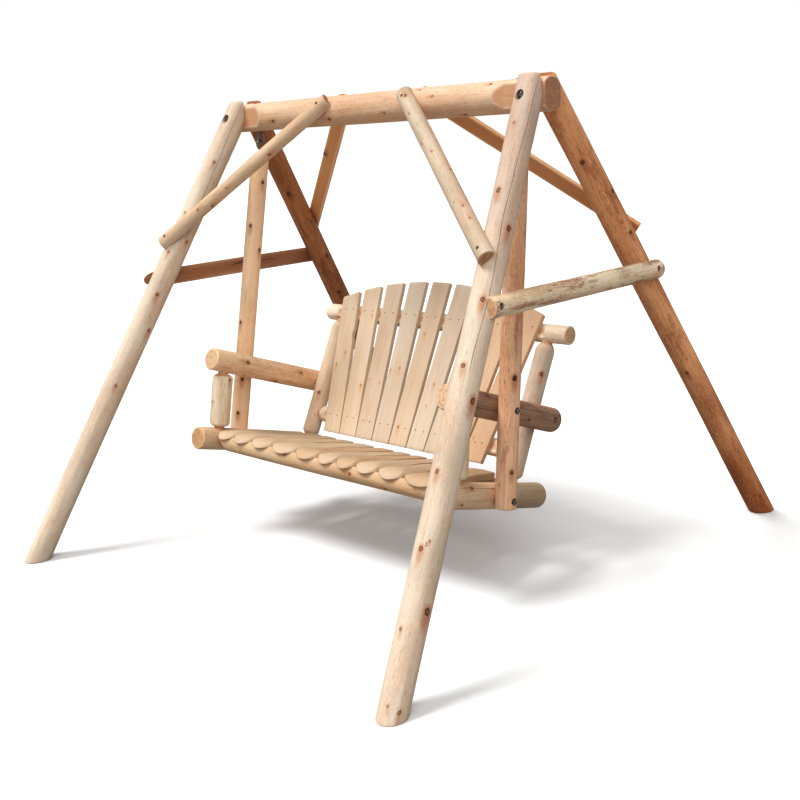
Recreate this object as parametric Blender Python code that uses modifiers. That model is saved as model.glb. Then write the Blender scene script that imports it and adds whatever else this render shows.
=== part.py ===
"""Log yard swing: a round-log A-frame stand and a log bench that hangs from its beam.

Metres, +Z up, +X along the beam, -Y the front. The bench and its hangers are drawn in the frame of
an empty on the swing axis, which leans the way the bench hangs when nobody sits in it.
"""
import math

import bmesh
import bpy
from mathutils import Matrix, Vector

# Fits; cutters run past the wood by OVERRUN
CLEAR = 0.0003
OVERRUN = 0.1
LOG_STEPS = 20
BOLT_STEPS = 12
HOLE_STEPS = 8

# Stand: beam, four legs, four knee braces, two side bars
BEAM_Z = 1.75
BEAM_R = 0.058
BEAM_PAST = 0.057
BEAM_FLAT_Y = 0.041
BEAM_FLAT_X = 0.68
BEAM_RUNOUT_X = 0.63
LEG_R = 0.048
LEG_FOOT_X = 1.055
LEG_FOOT_Y = 1.111
LEG_SEAT_X = 0.805
LEG_SEAT_Y = 0.0568
LEG_TOP_RISE = 0.07
BRACE_R = 0.0325
BRACE_FLAT = 0.003
BRACE_RISE = math.radians(16.0)
BRACE_BEAM_X = 0.24
BRACE_LEG_DROP = 0.507
BRACE_TAIL = 0.038
BAR_R = 0.036
BAR_FLAT = 0.001
BAR_LEG_DROP = 0.655
BAR_FLAT_PAST = 0.0266
BAR_DOME_PAST = 0.0586

# Hanging: the eyes share one axis, the lower wire of the beam eye
PIVOT_DROP = 0.105
REST_TILT = math.radians(10.0)
EYE_R = 0.020
WIRE_R = 0.005
EYE_SHANK = 0.120
HANGER_R = 0.0385
HANGER_TOP_Z = -0.060
HANGER_END_Z = -1.335

# Bench, in the frame of the swing axis
ARM_R = 0.0475
ARM_X = 0.672
ARM_FRONT = (-0.242, -0.934)
ARM_SLOPE = math.radians(-10.3)
ARM_TIP_Y = 0.392
RAIL_R = 0.048
RAIL_X = 0.687
RAIL_FRONT = (-0.284, -1.2735)
RAIL_SLOPE = math.radians(-5.12)
RAIL_TIP_Y = 0.312
CROSS_R = 0.041
FRONT_RAIL_Y = -0.1816
REAR_RAIL_Y = 0.2455
CROSS_TENON_R = 0.026
CROSS_TENON_DEPTH = 0.031
CROSS_TENON_SHOWN = 0.020
ARM_POST_R = 0.0405
ARM_POST_Y = -0.175
POST_TENON_R = 0.021
ARM_POST_DEPTH = 0.018
POST_R = 0.0375
POST_RECLINE = math.radians(17.0)
POST_DEPTH = 0.028
TOP_RAIL_R = 0.0365
TOP_RAIL_T = 0.627
TOP_RAIL_PAST = 0.0993
LOW_RAIL_R = 0.0355
LOW_RAIL_T = 0.1532
LOW_RAIL_DEPTH = 0.024
SHOULDER = 0.022
TENON_SHOWN = 0.008

# Back slats: boards that fan out from the seat, tops cut to one arc
SLAT_COUNT = 9
SLAT_POST_GAP = 0.0938
SLAT_THICK = 0.020
SLAT_BACK = 0.026
SLAT_FOOT_T = 0.0752
SLAT_FOOT_GAP = 0.0036
SLAT_FAN_RATIO = 0.0461
SLAT_TOP = 0.714
SLAT_ARC_R = 1.724
SLAT_EDGE = 0.0015
SLAT_CORNER = 0.010
SLAT_FLAT_PAST = 0.027

# Seat slats: half-log slabs of unequal width, rounded noses
SEAT_EDGES = (-0.642, -0.533, -0.417, -0.286, -0.137, -0.002, 0.106, 0.213, 0.333, 0.466, 0.636)
SEAT_REAR_SCALE = 0.86
SEAT_GAP = 0.003
SEAT_THICK = 0.030
SEAT_EDGE_DROP = 0.017
SEAT_FRONT_FLAT = 0.024
SEAT_REAR_FLAT = 0.032
SEAT_OVERHANG = 0.054
SEAT_REAR_SHORT = 0.008
SEAT_FLAT_PAST = 0.006
NOSE_LENGTH = 0.045
NOSE_ROUND = 0.058
NOSE_THICK = 0.007

# Steel
LEG_BOLT_R = 0.006
BENCH_BOLT_R = 0.005
BENCH_BOLT = 0.125
SPOT_R = 0.0135
SPOT_FACE = 0.004
LAG_R = 0.004
WASHER = 0.0025
BORE_R = 0.018
BORE_FLOOR_Y = 0.090
EYE_BORE = 0.016

for old in list(bpy.data.objects):
    bpy.data.objects.remove(old)
parts = bpy.data.collections.new("log_yard_swing")
cutters = bpy.data.collections.new("cutters")
bpy.context.scene.collection.children.link(parts)
bpy.context.scene.collection.children.link(cutters)


def make_material(name, color, roughness, metallic):
    material = bpy.data.materials.new(name)
    material.use_nodes = True
    shader = material.node_tree.nodes["Principled BSDF"]
    shader.inputs["Base Color"].default_value = (*color, 1.0)
    shader.inputs["Roughness"].default_value = roughness
    shader.inputs["Metallic"].default_value = metallic
    return material


frame_wood = make_material("frame_log", (0.66, 0.47, 0.31), 0.62, 0.0)
bench_wood = make_material("bench_log", (0.55, 0.33, 0.17), 0.60, 0.0)
slat_wood = make_material("slat_board", (0.72, 0.50, 0.28), 0.60, 0.0)
steel = make_material("zinc_steel", (0.55, 0.55, 0.53), 0.35, 1.0)


def aim(start, end):
    """Matrix with its origin at start and +Z toward end."""
    start = Vector(start)
    turn = (Vector(end) - start).to_track_quat("Z", "Y")
    return Matrix.Translation(start) @ turn.to_matrix().to_4x4()


def axes(origin, x_axis, y_axis, z_axis):
    """Matrix from three unit axes and an origin."""
    turn = Matrix((x_axis, y_axis, z_axis)).transposed()
    return Matrix.Translation(Vector(origin)) @ turn.to_4x4()


def put(body, matrix, rig, material):
    """Link a finished piece; rig is None for the stand and the swing axis for the bench."""
    parts.objects.link(body)
    body.parent = rig
    body.matrix_basis = matrix
    body.data.materials.clear()
    body.data.materials.append(material)
    return body


def combine(body, cutter, operation):
    """Boolean of a piece with a hidden cutter."""
    step = body.modifiers.new(cutter.name, "BOOLEAN")
    step.operation = operation
    step.solver = "EXACT"
    step.object = cutter


def hide_cutter(cutter, matrix, rig):
    cutters.objects.link(cutter)
    cutter.parent = rig
    cutter.matrix_basis = matrix
    cutter.hide_render = True
    cutter.display_type = "WIRE"
    return cutter


def drill(body, start, end, radius, rig, steps=HOLE_STEPS):
    """Cut a round hole between two points, its flats clear of the given radius."""
    start = Vector(start)
    end = Vector(end)
    wide = radius / math.cos(math.pi / steps)
    work = bmesh.new()
    bmesh.ops.create_cone(work, cap_ends=True, segments=steps, radius1=wide, radius2=wide,
                          depth=(end - start).length)
    mesh = bpy.data.meshes.new(body.name + "_drill")
    work.to_mesh(mesh)
    work.free()
    cutter = bpy.data.objects.new(mesh.name, mesh)
    hide_cutter(cutter, aim((start + end) / 2, end), rig)
    combine(body, cutter, "DIFFERENCE")


def saw(body, matrix, size, rig):
    """Cut away a box of the given size, centred on a matrix."""
    work = bmesh.new()
    bmesh.ops.create_cube(work, size=1.0, matrix=Matrix.Diagonal((*size, 1.0)))
    mesh = bpy.data.meshes.new(body.name + "_saw")
    work.to_mesh(mesh)
    work.free()
    cutter = bpy.data.objects.new(mesh.name, mesh)
    hide_cutter(cutter, matrix, rig)
    combine(body, cutter, "DIFFERENCE")


def spun(name, outline, steps, closed=False):
    """Outline of (radius, height), top to bottom on its outer side, spun about local Z."""
    points = [(radius, 0.0, height) for radius, height in outline]
    edges = [(i, i + 1) for i in range(len(points) - 1)]
    if closed:
        edges.append((len(points) - 1, 0))
    mesh = bpy.data.meshes.new(name)
    mesh.from_pydata(points, edges, [])
    body = bpy.data.objects.new(name, mesh)
    spin = body.modifiers.new("Spin", "SCREW")
    spin.axis = "Z"
    spin.angle = math.tau
    spin.steps = steps
    spin.render_steps = steps
    spin.use_merge_vertices = True
    spin.merge_threshold = 0.00005
    spin.use_smooth_shade = True
    return body


def flat_end(radius, chamfer=0.004):
    """End outline, (radius, depth) from the axis out: a sawn end with its edge eased."""
    return [(0.0, 0.0), (radius - chamfer, 0.0), (radius, chamfer)]


def dome_end(radius, depth):
    """End outline of a log rounded off to a dome."""
    turns = [math.pi / 2 * i / 4 for i in range(5)]
    return [(radius * math.sin(turn), depth * (1.0 - math.cos(turn))) for turn in turns]


def tenon_end(radius, tenon_r, length, shoulder):
    """End outline of a log turned down to a tenon behind a rounded shoulder."""
    outline = [(0.0, 0.0), (tenon_r - 0.002, 0.0), (tenon_r, 0.002), (tenon_r, length)]
    for i in range(1, 4):
        turn = math.pi / 2 * i / 3
        grown = tenon_r + (radius - tenon_r) * math.sin(turn)
        outline.append((grown, length + shoulder * (1.0 - math.cos(turn))))
    return outline


def log(name, start, end, bottom, top, rig, material):
    """Round log from start to end with the given end outlines."""
    start = Vector(start)
    end = Vector(end)
    length = (end - start).length
    outline = [(radius, length - depth) for radius, depth in top]
    outline += [(radius, depth) for radius, depth in reversed(bottom)]
    return put(spun(name, outline, LOG_STEPS), aim(start, end), rig, material)


def baked(body):
    """Welded mesh of a body with its modifiers applied; the body itself goes."""
    bpy.context.scene.collection.objects.link(body)
    graph = bpy.context.evaluated_depsgraph_get()
    graph.update()
    mesh = bpy.data.meshes.new_from_object(body.evaluated_get(graph))
    mesh.name = body.name
    bpy.data.objects.remove(body)
    work = bmesh.new()
    work.from_mesh(mesh)
    bmesh.ops.remove_doubles(work, verts=work.verts, dist=0.00001)
    bmesh.ops.recalc_face_normals(work, faces=work.faces)
    work.to_mesh(mesh)
    work.free()
    return mesh


def plate(name, outline, half, edge=0.0):
    """Mesh of a flat outline in local XY, grown by half to both sides along Z."""
    curve = bpy.data.curves.new(name, "CURVE")
    curve.dimensions = "2D"
    curve.fill_mode = "BOTH"
    curve.extrude = half - edge
    curve.bevel_depth = edge
    curve.bevel_resolution = 0
    curve.offset = -edge
    line = curve.splines.new("POLY")
    line.points.add(len(outline) - 1)
    for point, (x, y) in zip(line.points, outline):
        point.co = (x, y, 0.0, 1.0)
    line.use_cyclic_u = True
    return baked(bpy.data.objects.new(name, curve))


def eased(outline, index):
    """Outline with one corner rounded off along a quadratic arc."""
    corner = Vector(outline[index])
    before = (Vector(outline[index - 1]) - corner).normalized() * SLAT_CORNER
    after = (Vector(outline[(index + 1) % len(outline)]) - corner).normalized() * SLAT_CORNER
    arc = [corner + before * (1.0 - t) ** 2 + after * t * t for t in (0.0, 0.25, 0.5, 0.75, 1.0)]
    return outline[:index] + [tuple(point) for point in arc] + outline[index + 1:]


def hexed(mesh, corner):
    """Press the ring of the given corner radius into a hexagon."""
    for vertex in mesh.vertices:
        radius = math.hypot(vertex.co.x, vertex.co.y)
        step = round(math.atan2(vertex.co.y, vertex.co.x) / (math.pi / 6))
        if abs(radius - corner) < 0.00001 and step % 2:
            vertex.co.x *= math.cos(math.pi / 6)
            vertex.co.y *= math.cos(math.pi / 6)
    return mesh


def bolt(name, radius, length, tip=0.001):
    """Hex bolt with its washer: the washer's face is at local zero and the shank runs up +Z."""
    corner = 1.75 * radius
    head = 1.25 * radius
    outline = [(0.0, length), (radius - tip / 2, length), (radius, length - tip), (radius, 0.0)]
    outline += [(2.3 * radius, 0.0), (2.3 * radius, -WASHER), (corner, -WASHER)]
    outline += [(corner, -WASHER - head), (0.0, -WASHER - head)]
    return hexed(baked(spun(name, outline, BOLT_STEPS)), corner)


def nut(name, radius):
    """Hex nut with its washer, seated at local zero, its bore clear of the shank."""
    corner = 1.75 * radius
    bore = radius + CLEAR
    top = WASHER + 1.6 * radius
    outline = [(bore, top), (corner, top), (corner, WASHER), (2.3 * radius, WASHER)]
    outline += [(2.3 * radius, 0.0), (bore, 0.0)]
    return hexed(baked(spun(name, outline, BOLT_STEPS, closed=True)), corner)


def fasten(name, mesh, matrix, rig):
    """One fastener, which shares its mesh with the others of its kind."""
    put(bpy.data.objects.new(name, mesh), matrix, rig, steel)


def eye_bolt(name, shank):
    """Eye in the XZ plane round the origin, its shank up +Z to the given height."""
    work = bmesh.new()
    bmesh.ops.create_circle(work, segments=8, radius=WIRE_R, matrix=Matrix.Translation((EYE_R, 0.0, 0.0)))
    bmesh.ops.spin(work, geom=work.verts[:] + work.edges[:], cent=(0.0, 0.0, 0.0), axis=(0.0, 1.0, 0.0),
                   angle=math.tau, steps=20, use_merge=True)
    bmesh.ops.remove_doubles(work, verts=work.verts, dist=0.00001)
    bmesh.ops.recalc_face_normals(work, faces=work.faces)
    mesh = bpy.data.meshes.new(name)
    work.to_mesh(mesh)
    work.free()
    body = bpy.data.objects.new(name, mesh)
    rod = spun(name + "_shank", [(0.0, shank), (WIRE_R, shank), (WIRE_R, EYE_R), (0.0, EYE_R)], 8)
    stem = hide_cutter(bpy.data.objects.new(rod.name, baked(rod)), Matrix.Identity(4), None)
    combine(body, stem, "UNION")
    return baked(body)


# Swing axis: everything that hangs is drawn in its frame
swing = bpy.data.objects.new("swing_axis", None)
parts.objects.link(swing)
pivot_z = BEAM_Z - PIVOT_DROP
swing.location = (0.0, 0.0, pivot_z)
swing.rotation_euler = (-REST_TILT, 0.0, 0.0)
SIDES = (("left", -1), ("right", 1))
ENDS = (("front", -1), ("rear", 1))


def arm_axis(y):
    return ARM_FRONT[1] + math.tan(ARM_SLOPE) * (y - ARM_FRONT[0])


def rail_axis(y):
    return RAIL_FRONT[1] + math.tan(RAIL_SLOPE) * (y - RAIL_FRONT[0])


# The hanger stands against the arm and the side rail, so both set its splay
hanger_arm_x = ARM_X + ARM_R + HANGER_R + CLEAR
hanger_rail_x = RAIL_X + RAIL_R + HANGER_R + CLEAR
hanger_splay = (hanger_rail_x - hanger_arm_x) / (arm_axis(0.0) - rail_axis(0.0))


def hanger_x(z):
    return hanger_arm_x + hanger_splay * (arm_axis(0.0) - z)


eye_x = hanger_x(0.0)

# Top beam: a log with a plumb flat sawn front and back at each end for the legs
beam_half = LEG_SEAT_X + BEAM_PAST
beam_end = flat_end(BEAM_R, 0.003)
beam_left = (-beam_half, 0.0, BEAM_Z)
beam_right = (beam_half, 0.0, BEAM_Z)
beam = log("top_beam", beam_left, beam_right, beam_end, beam_end, None, frame_wood)
past_x = beam_half + OVERRUN
past_r = BEAM_R + OVERRUN
scarf = [(BEAM_RUNOUT_X, BEAM_R), (BEAM_FLAT_X, BEAM_FLAT_Y), (past_x, BEAM_FLAT_Y), (past_x, past_r)]
scarf.append((BEAM_RUNOUT_X, past_r))
scarf_mesh = plate("beam_scarf", scarf, past_r)
for side_name, side in SIDES:
    for end_name, end in ENDS:
        flip = Matrix.Rotation(0.0 if side > 0 else math.pi, 4, "Y")
        flip = flip @ Matrix.Rotation(0.0 if end > 0 else math.pi, 4, "X")
        cutter = bpy.data.objects.new("beam_scarf_" + end_name, scarf_mesh)
        hide_cutter(cutter, Matrix.Translation((0.0, 0.0, BEAM_Z)) @ flip, None)
        combine(beam, cutter, "DIFFERENCE")
    seat_x = side * LEG_SEAT_X
    drill(beam, (seat_x, -past_r, BEAM_Z), (seat_x, past_r, BEAM_Z), LEG_BOLT_R + CLEAR * 2, None)
    above = (side * eye_x, 0.0, BEAM_Z + past_r)
    drill(beam, (side * eye_x, 0.0, BEAM_Z - past_r), above, WIRE_R + CLEAR * 2, None)
    drill(beam, (side * eye_x, 0.0, BEAM_Z + BEAM_R - EYE_BORE), above, BORE_R, None)

# Legs: level feet, tops plumb-cut against the beam flats and trimmed level
leg_slope_x = (LEG_FOOT_X - LEG_SEAT_X) / BEAM_Z
leg_slope_y = (LEG_FOOT_Y - LEG_SEAT_Y) / BEAM_Z


def leg_point(side, end, z):
    """Point of a leg's axis at a height."""
    drop = BEAM_Z - z
    return Vector((side * (LEG_SEAT_X + leg_slope_x * drop), end * (LEG_SEAT_Y + leg_slope_y * drop), z))


legs = {}
leg_top_z = BEAM_Z + LEG_TOP_RISE
leg_end = flat_end(LEG_R)
trim = 4 * OVERRUN
for side_name, side in SIDES:
    for end_name, end in ENDS:
        name = "leg_" + end_name + "_" + side_name
        rough_foot = leg_point(side, end, -OVERRUN)
        rough_top = leg_point(side, end, leg_top_z + OVERRUN)
        leg = log(name, rough_foot, rough_top, leg_end, leg_end, None, frame_wood)
        legs[side, end] = leg
        foot = leg_point(side, end, 0.0)
        saw(leg, Matrix.Translation((foot.x, foot.y, -trim / 2)), (trim, trim, trim), None)
        crown = leg_point(side, end, leg_top_z)
        saw(leg, Matrix.Translation((crown.x, crown.y, leg_top_z + trim / 2)), (trim, trim, trim), None)
        cheek = end * (BEAM_FLAT_Y + CLEAR - trim / 2)
        saw(leg, Matrix.Translation((side * LEG_SEAT_X, cheek, BEAM_Z)), (trim, trim, trim), None)
        outside = (side * LEG_SEAT_X, end * (BORE_FLOOR_Y + OVERRUN), BEAM_Z)
        drill(leg, (side * LEG_SEAT_X, 0.0, BEAM_Z), outside, LEG_BOLT_R + CLEAR * 2, None)
        drill(leg, (side * LEG_SEAT_X, end * BORE_FLOOR_Y, BEAM_Z), outside, BORE_R, None, LOG_STEPS)

# Through-bolts of the leg tops: heads in the front bores, nuts in the rear ones
bolt_seat = BORE_FLOOR_Y + CLEAR
leg_bolt = bolt("leg_bolt", LEG_BOLT_R, 2 * bolt_seat + WASHER + 0.014)
leg_nut = nut("leg_nut", LEG_BOLT_R)
for side_name, side in SIDES:
    x = side * LEG_SEAT_X
    fasten("leg_bolt_" + side_name, leg_bolt, aim((x, -bolt_seat, BEAM_Z), (x, 0.0, BEAM_Z)), None)
    fasten("leg_nut_" + side_name, leg_nut, aim((x, bolt_seat, BEAM_Z), (x, 0.3, BEAM_Z)), None)

# Knee braces: half-logs, flat side let into a planed seat on the beam and another on the leg
leg_face = Vector((0.0, -1.0, leg_slope_y)).normalized()
brace_leg_z = BEAM_Z - BRACE_LEG_DROP
for side_name, side in SIDES:
    for end_name, end in ENDS:
        leg_out = Vector((0.0, leg_face.y * -end, leg_face.z))
        beam_out = Vector((0.0, end * math.cos(BRACE_RISE), math.sin(BRACE_RISE)))
        high = Vector((side * BRACE_BEAM_X, 0.0, BEAM_Z)) + beam_out * BEAM_R
        low = leg_point(side, end, brace_leg_z) + leg_out * LEG_R
        along = (low - high).normalized()
        out = (beam_out + leg_out) / 2
        out = (out - along * out.dot(along)).normalized()
        lift = out * BRACE_FLAT
        place = axes(high + lift - along * BRACE_TAIL, out.cross(along), out, along)
        name = "brace_" + end_name + "_" + side_name
        outline = flat_end(BRACE_R, 0.003)
        length = (low - high).length + 2 * BRACE_TAIL
        brace = log(name, (0.0, 0.0, 0.0), (0.0, 0.0, length), outline, outline, None, frame_wood)
        brace.matrix_basis = place
        waste = place @ Matrix.Translation((0.0, -OVERRUN / 2 - BRACE_FLAT, length / 2))
        saw(brace, waste, (2 * OVERRUN, OVERRUN, 2 * length), None)
        seat = place @ Matrix.Translation((0.0, OVERRUN / 2 - BRACE_FLAT - CLEAR, length / 2))
        for wood in (beam, legs[side, end]):
            saw(wood, seat, (2 * BRACE_R + 0.004, OVERRUN, length + 0.006), None)
        for spot, wood in ((high, beam), (low, legs[side, end])):
            head = spot + lift + out * (BRACE_R - 0.009)
            drill(brace, head, head + out * 0.03, LAG_R * 2.3 + 0.001, None)
            drill(brace, head + out * 0.01, head - out * 0.08, LAG_R + CLEAR * 2, None)
            drill(wood, head, head - out * 0.08, LAG_R + CLEAR * 2, None)

# Side bars: half-logs across the outside of each pair of legs, one turned round for the other side
bar_leg_z = BEAM_Z - BAR_LEG_DROP
for side_name, side in SIDES:
    out = Vector((side, 0.0, leg_slope_x)).normalized()
    middle = leg_point(side, 1, bar_leg_z)
    flat_reach = middle.y + BAR_FLAT_PAST
    dome_reach = middle.y + BAR_DOME_PAST
    middle.y = 0.0
    seat = middle + out * (LEG_R + CLEAR)
    along = Vector((0.0, side, 0.0))
    place = axes(seat + out * BAR_FLAT - along * flat_reach, out.cross(along), out, along)
    length = flat_reach + dome_reach
    flat = flat_end(BAR_R, 0.003)
    dome = dome_end(BAR_R, 0.03)
    bar = log("side_bar_" + side_name, (0.0, 0.0, 0.0), (0.0, 0.0, length), flat, dome, None, frame_wood)
    bar.matrix_basis = place
    waste = place @ Matrix.Translation((0.0, -OVERRUN / 2 - BAR_FLAT, length / 2))
    saw(bar, waste, (2 * OVERRUN, OVERRUN, 2 * length), None)
    for end_name, end in ENDS:
        head = leg_point(side, end, bar_leg_z) + out * (LEG_R + BAR_R - 0.006)
        drill(bar, head, head + out * 0.03, BENCH_BOLT_R * 2.3 + 0.001, None)
        drill(bar, head + out * 0.01, head - out * 0.09, BENCH_BOLT_R + CLEAR * 2, None)
        drill(legs[side, end], head, head - out * 0.09, BENCH_BOLT_R + CLEAR * 2, None)

# Eyes: one through the beam with a nut on top, one screwed into each hanger, linked on the swing axis
beam_seat = BEAM_Z + BEAM_R - EYE_BORE + CLEAR
beam_eye = eye_bolt("beam_eye", beam_seat + WASHER + 0.014 - pivot_z - EYE_R)
eye_nut = nut("eye_nut", WIRE_R)
hanger_eye = eye_bolt("hanger_eye", EYE_SHANK)
link_z = 2 * WIRE_R + CLEAR - EYE_R
hang = Matrix.Rotation(math.pi / 2, 4, "Z") @ Matrix.Rotation(math.pi, 4, "X")
for side_name, side in SIDES:
    x = side * eye_x
    fasten("beam_eye_" + side_name, beam_eye, Matrix.Translation((x, 0.0, pivot_z + EYE_R)), None)
    fasten("eye_nut_" + side_name, eye_nut, Matrix.Translation((x, 0.0, beam_seat)), None)
    fasten("hanger_eye_" + side_name, hanger_eye, Matrix.Translation((x, 0.0, link_z)) @ hang, swing)

# Hangers, arms and side rails: a lag bolt through each hanger into the arm, another into the rail
bench_bolt = bolt("bench_bolt", BENCH_BOLT_R, BENCH_BOLT, 0.004)
arms = {}
rails = {}
for side_name, side in SIDES:
    hanger_end = (side * hanger_x(HANGER_END_Z), 0.0, HANGER_END_Z)
    hanger_top = (side * hanger_x(HANGER_TOP_Z), 0.0, HANGER_TOP_Z)
    eased_end = dome_end(HANGER_R, 0.008)
    hanger = log("hanger_" + side_name, hanger_end, hanger_top, eased_end, eased_end, swing, bench_wood)
    eye_tip = (side * eye_x, 0.0, link_z - EYE_SHANK - CLEAR)
    drill(hanger, (side * eye_x, 0.0, 0.0), eye_tip, WIRE_R + CLEAR * 2, swing)
    arm_front = (side * ARM_X, *ARM_FRONT)
    arm_tip = (side * ARM_X, ARM_TIP_Y, arm_axis(ARM_TIP_Y))
    flat = flat_end(ARM_R, 0.006)
    dome = dome_end(ARM_R, 0.03)
    arms[side] = log("arm_" + side_name, arm_front, arm_tip, flat, dome, swing, bench_wood)
    rail_front = (side * RAIL_X, *RAIL_FRONT)
    rail_tip = (side * RAIL_X, RAIL_TIP_Y, rail_axis(RAIL_TIP_Y))
    flat = flat_end(RAIL_R, 0.006)
    dome = dome_end(RAIL_R, 0.03)
    rails[side] = log("side_rail_" + side_name, rail_front, rail_tip, flat, dome, swing, bench_wood)
    arm_joint = ("arm", arms[side], arm_axis(0.0), hanger_arm_x)
    rail_joint = ("rail", rails[side], rail_axis(0.0), hanger_rail_x)
    for kind, wood, z, x in (arm_joint, rail_joint):
        head = side * (x + HANGER_R - SPOT_FACE)
        tip = head - side * (BENCH_BOLT + 2 * CLEAR)
        outside = (head + side * OVERRUN, 0.0, z)
        drill(hanger, (head, 0.0, z), outside, SPOT_R, swing)
        for drilled in (hanger, wood):
            drill(drilled, (tip, 0.0, z), outside, BENCH_BOLT_R + CLEAR * 2, swing)
        place = aim((head + side * CLEAR, 0.0, z), (0.0, 0.0, z))
        fasten("hanger_bolt_" + kind + "_" + side_name, bench_bolt, place, swing)

# Front and rear seat rails, tenoned into the side rails, their tops planed to carry the seat
tenon_tip = RAIL_X - RAIL_R + CROSS_TENON_DEPTH
cross_end = tenon_end(CROSS_R, CROSS_TENON_R, CROSS_TENON_DEPTH + CROSS_TENON_SHOWN, SHOULDER + 0.006)
front_z = rail_axis(FRONT_RAIL_Y)
rear_z = rail_axis(REAR_RAIL_Y)
cross_rails = []
for name, y, z in (("front_rail", FRONT_RAIL_Y, front_z), ("rear_rail", REAR_RAIL_Y, rear_z)):
    rail = log(name, (-tenon_tip, y, z), (tenon_tip, y, z), cross_end, cross_end, swing, bench_wood)
    cross_rails.append(rail)
    for side_name, side in SIDES:
        mouth = (side * (RAIL_X - RAIL_R - OVERRUN), y, z)
        floor = (side * (tenon_tip + CLEAR), y, z)
        drill(rails[side], floor, mouth, CROSS_TENON_R + CLEAR, swing, LOG_STEPS)
front_rail, rear_rail = cross_rails

seat_rise = rear_z + SEAT_REAR_FLAT - front_z - SEAT_FRONT_FLAT
seat_run = REAR_RAIL_Y - FRONT_RAIL_Y
seat_along = Vector((0.0, seat_run, seat_rise)).normalized()
seat_up = Vector((0.0, -seat_along.z, seat_along.y))
seat_place = axes((0.0, FRONT_RAIL_Y, front_z + SEAT_FRONT_FLAT), (1.0, 0.0, 0.0), seat_along, seat_up)
seat_depth = math.hypot(seat_run, seat_rise)
seat_wide = 2 * max(-SEAT_EDGES[0], SEAT_EDGES[-1])
for rail, v, wide in ((front_rail, 0.0, seat_wide), (rear_rail, seat_depth, seat_wide * SEAT_REAR_SCALE)):
    size = (wide + 2 * SEAT_FLAT_PAST, 3 * CROSS_R, OVERRUN)
    saw(rail, seat_place @ Matrix.Translation((0.0, v, OVERRUN / 2)), size, swing)

# Arm posts between each side rail and arm
for side_name, side in SIDES:
    foot = Vector((side * RAIL_X, ARM_POST_Y, rail_axis(ARM_POST_Y)))
    head = Vector((side * ARM_X, ARM_POST_Y, arm_axis(ARM_POST_Y)))
    rise = (head - foot).normalized()
    low = foot + rise * (RAIL_R - ARM_POST_DEPTH)
    high = head - rise * (ARM_R - ARM_POST_DEPTH)
    ends = tenon_end(ARM_POST_R, POST_TENON_R, ARM_POST_DEPTH + TENON_SHOWN, SHOULDER)
    log("arm_post_" + side_name, low, high, ends, ends, swing, bench_wood)
    drill(rails[side], low - rise * CLEAR, low + rise * OVERRUN, POST_TENON_R + CLEAR, swing, LOG_STEPS)
    drill(arms[side], high + rise * CLEAR, high - rise * OVERRUN, POST_TENON_R + CLEAR, swing, LOG_STEPS)

# Back posts, reclined, tenoned into the rear rail and the top back rail, lag-bolted to the arms
recline = Vector((0.0, math.sin(POST_RECLINE), math.cos(POST_RECLINE)))
forward = Vector((0.0, -math.cos(POST_RECLINE), math.sin(POST_RECLINE)))
back_foot = Vector((0.0, REAR_RAIL_Y, rear_z))
post_x = ARM_X - ARM_R - POST_R - CLEAR
top_axis = back_foot + recline * TOP_RAIL_T
low_axis = back_foot + recline * LOW_RAIL_T
top_half = Vector((post_x + TOP_RAIL_PAST, 0.0, 0.0))
dome = dome_end(TOP_RAIL_R, 0.022)
flat = flat_end(TOP_RAIL_R, 0.003)
top_rail = log("top_back_rail", top_axis - top_half, top_axis + top_half, dome, flat, swing, bench_wood)
low_half = Vector((post_x - POST_R + LOW_RAIL_DEPTH, 0.0, 0.0))
low_end = tenon_end(LOW_RAIL_R, POST_TENON_R, LOW_RAIL_DEPTH + TENON_SHOWN, SHOULDER)
low_left = low_axis - low_half
low_right = low_axis + low_half
low_rail = log("lower_back_rail", low_left, low_right, low_end, low_end, swing, bench_wood)
for side_name, side in SIDES:
    shift = Vector((side * post_x, 0.0, 0.0))
    low = shift + back_foot + recline * (CROSS_R - POST_DEPTH)
    high = shift + top_axis - recline * (TOP_RAIL_R - POST_DEPTH + 0.002)
    foot_end = tenon_end(POST_R, POST_TENON_R, POST_DEPTH + TENON_SHOWN, SHOULDER)
    head_end = tenon_end(POST_R, POST_TENON_R, POST_DEPTH + TENON_SHOWN - 0.002, SHOULDER)
    post = log("back_post_" + side_name, low, high, foot_end, head_end, swing, bench_wood)
    drill(rear_rail, low - recline * CLEAR, low + recline * OVERRUN, POST_TENON_R + CLEAR, swing, LOG_STEPS)
    drill(top_rail, high + recline * CLEAR, high - recline * OVERRUN, POST_TENON_R + CLEAR, swing, LOG_STEPS)
    floor = low_axis + side * low_half + Vector((side * CLEAR, 0.0, 0.0))
    mouth = floor - Vector((side * OVERRUN, 0.0, 0.0))
    drill(post, floor, mouth, POST_TENON_R + CLEAR, swing, LOG_STEPS)
    reach = math.tan(POST_RECLINE)
    cross_y = (REAR_RAIL_Y + reach * (arm_axis(0.0) - rear_z)) / (1.0 - reach * math.tan(ARM_SLOPE))
    cross_z = arm_axis(cross_y)
    head = side * (ARM_X + ARM_R - SPOT_FACE)
    tip = head - side * (BENCH_BOLT + 2 * CLEAR)
    outside = (head + side * OVERRUN, cross_y, cross_z)
    drill(arms[side], (head, cross_y, cross_z), outside, SPOT_R, swing)
    for wood in (arms[side], post):
        drill(wood, outside, (tip, cross_y, cross_z), BENCH_BOLT_R + CLEAR * 2, swing)

# The slats share the width between the back posts
slat_span = 2 * (post_x - POST_R - SLAT_POST_GAP)
slat_pitch = (slat_span + SLAT_FOOT_GAP) / SLAT_COUNT
slat_wide = slat_pitch - SLAT_FOOT_GAP

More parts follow.
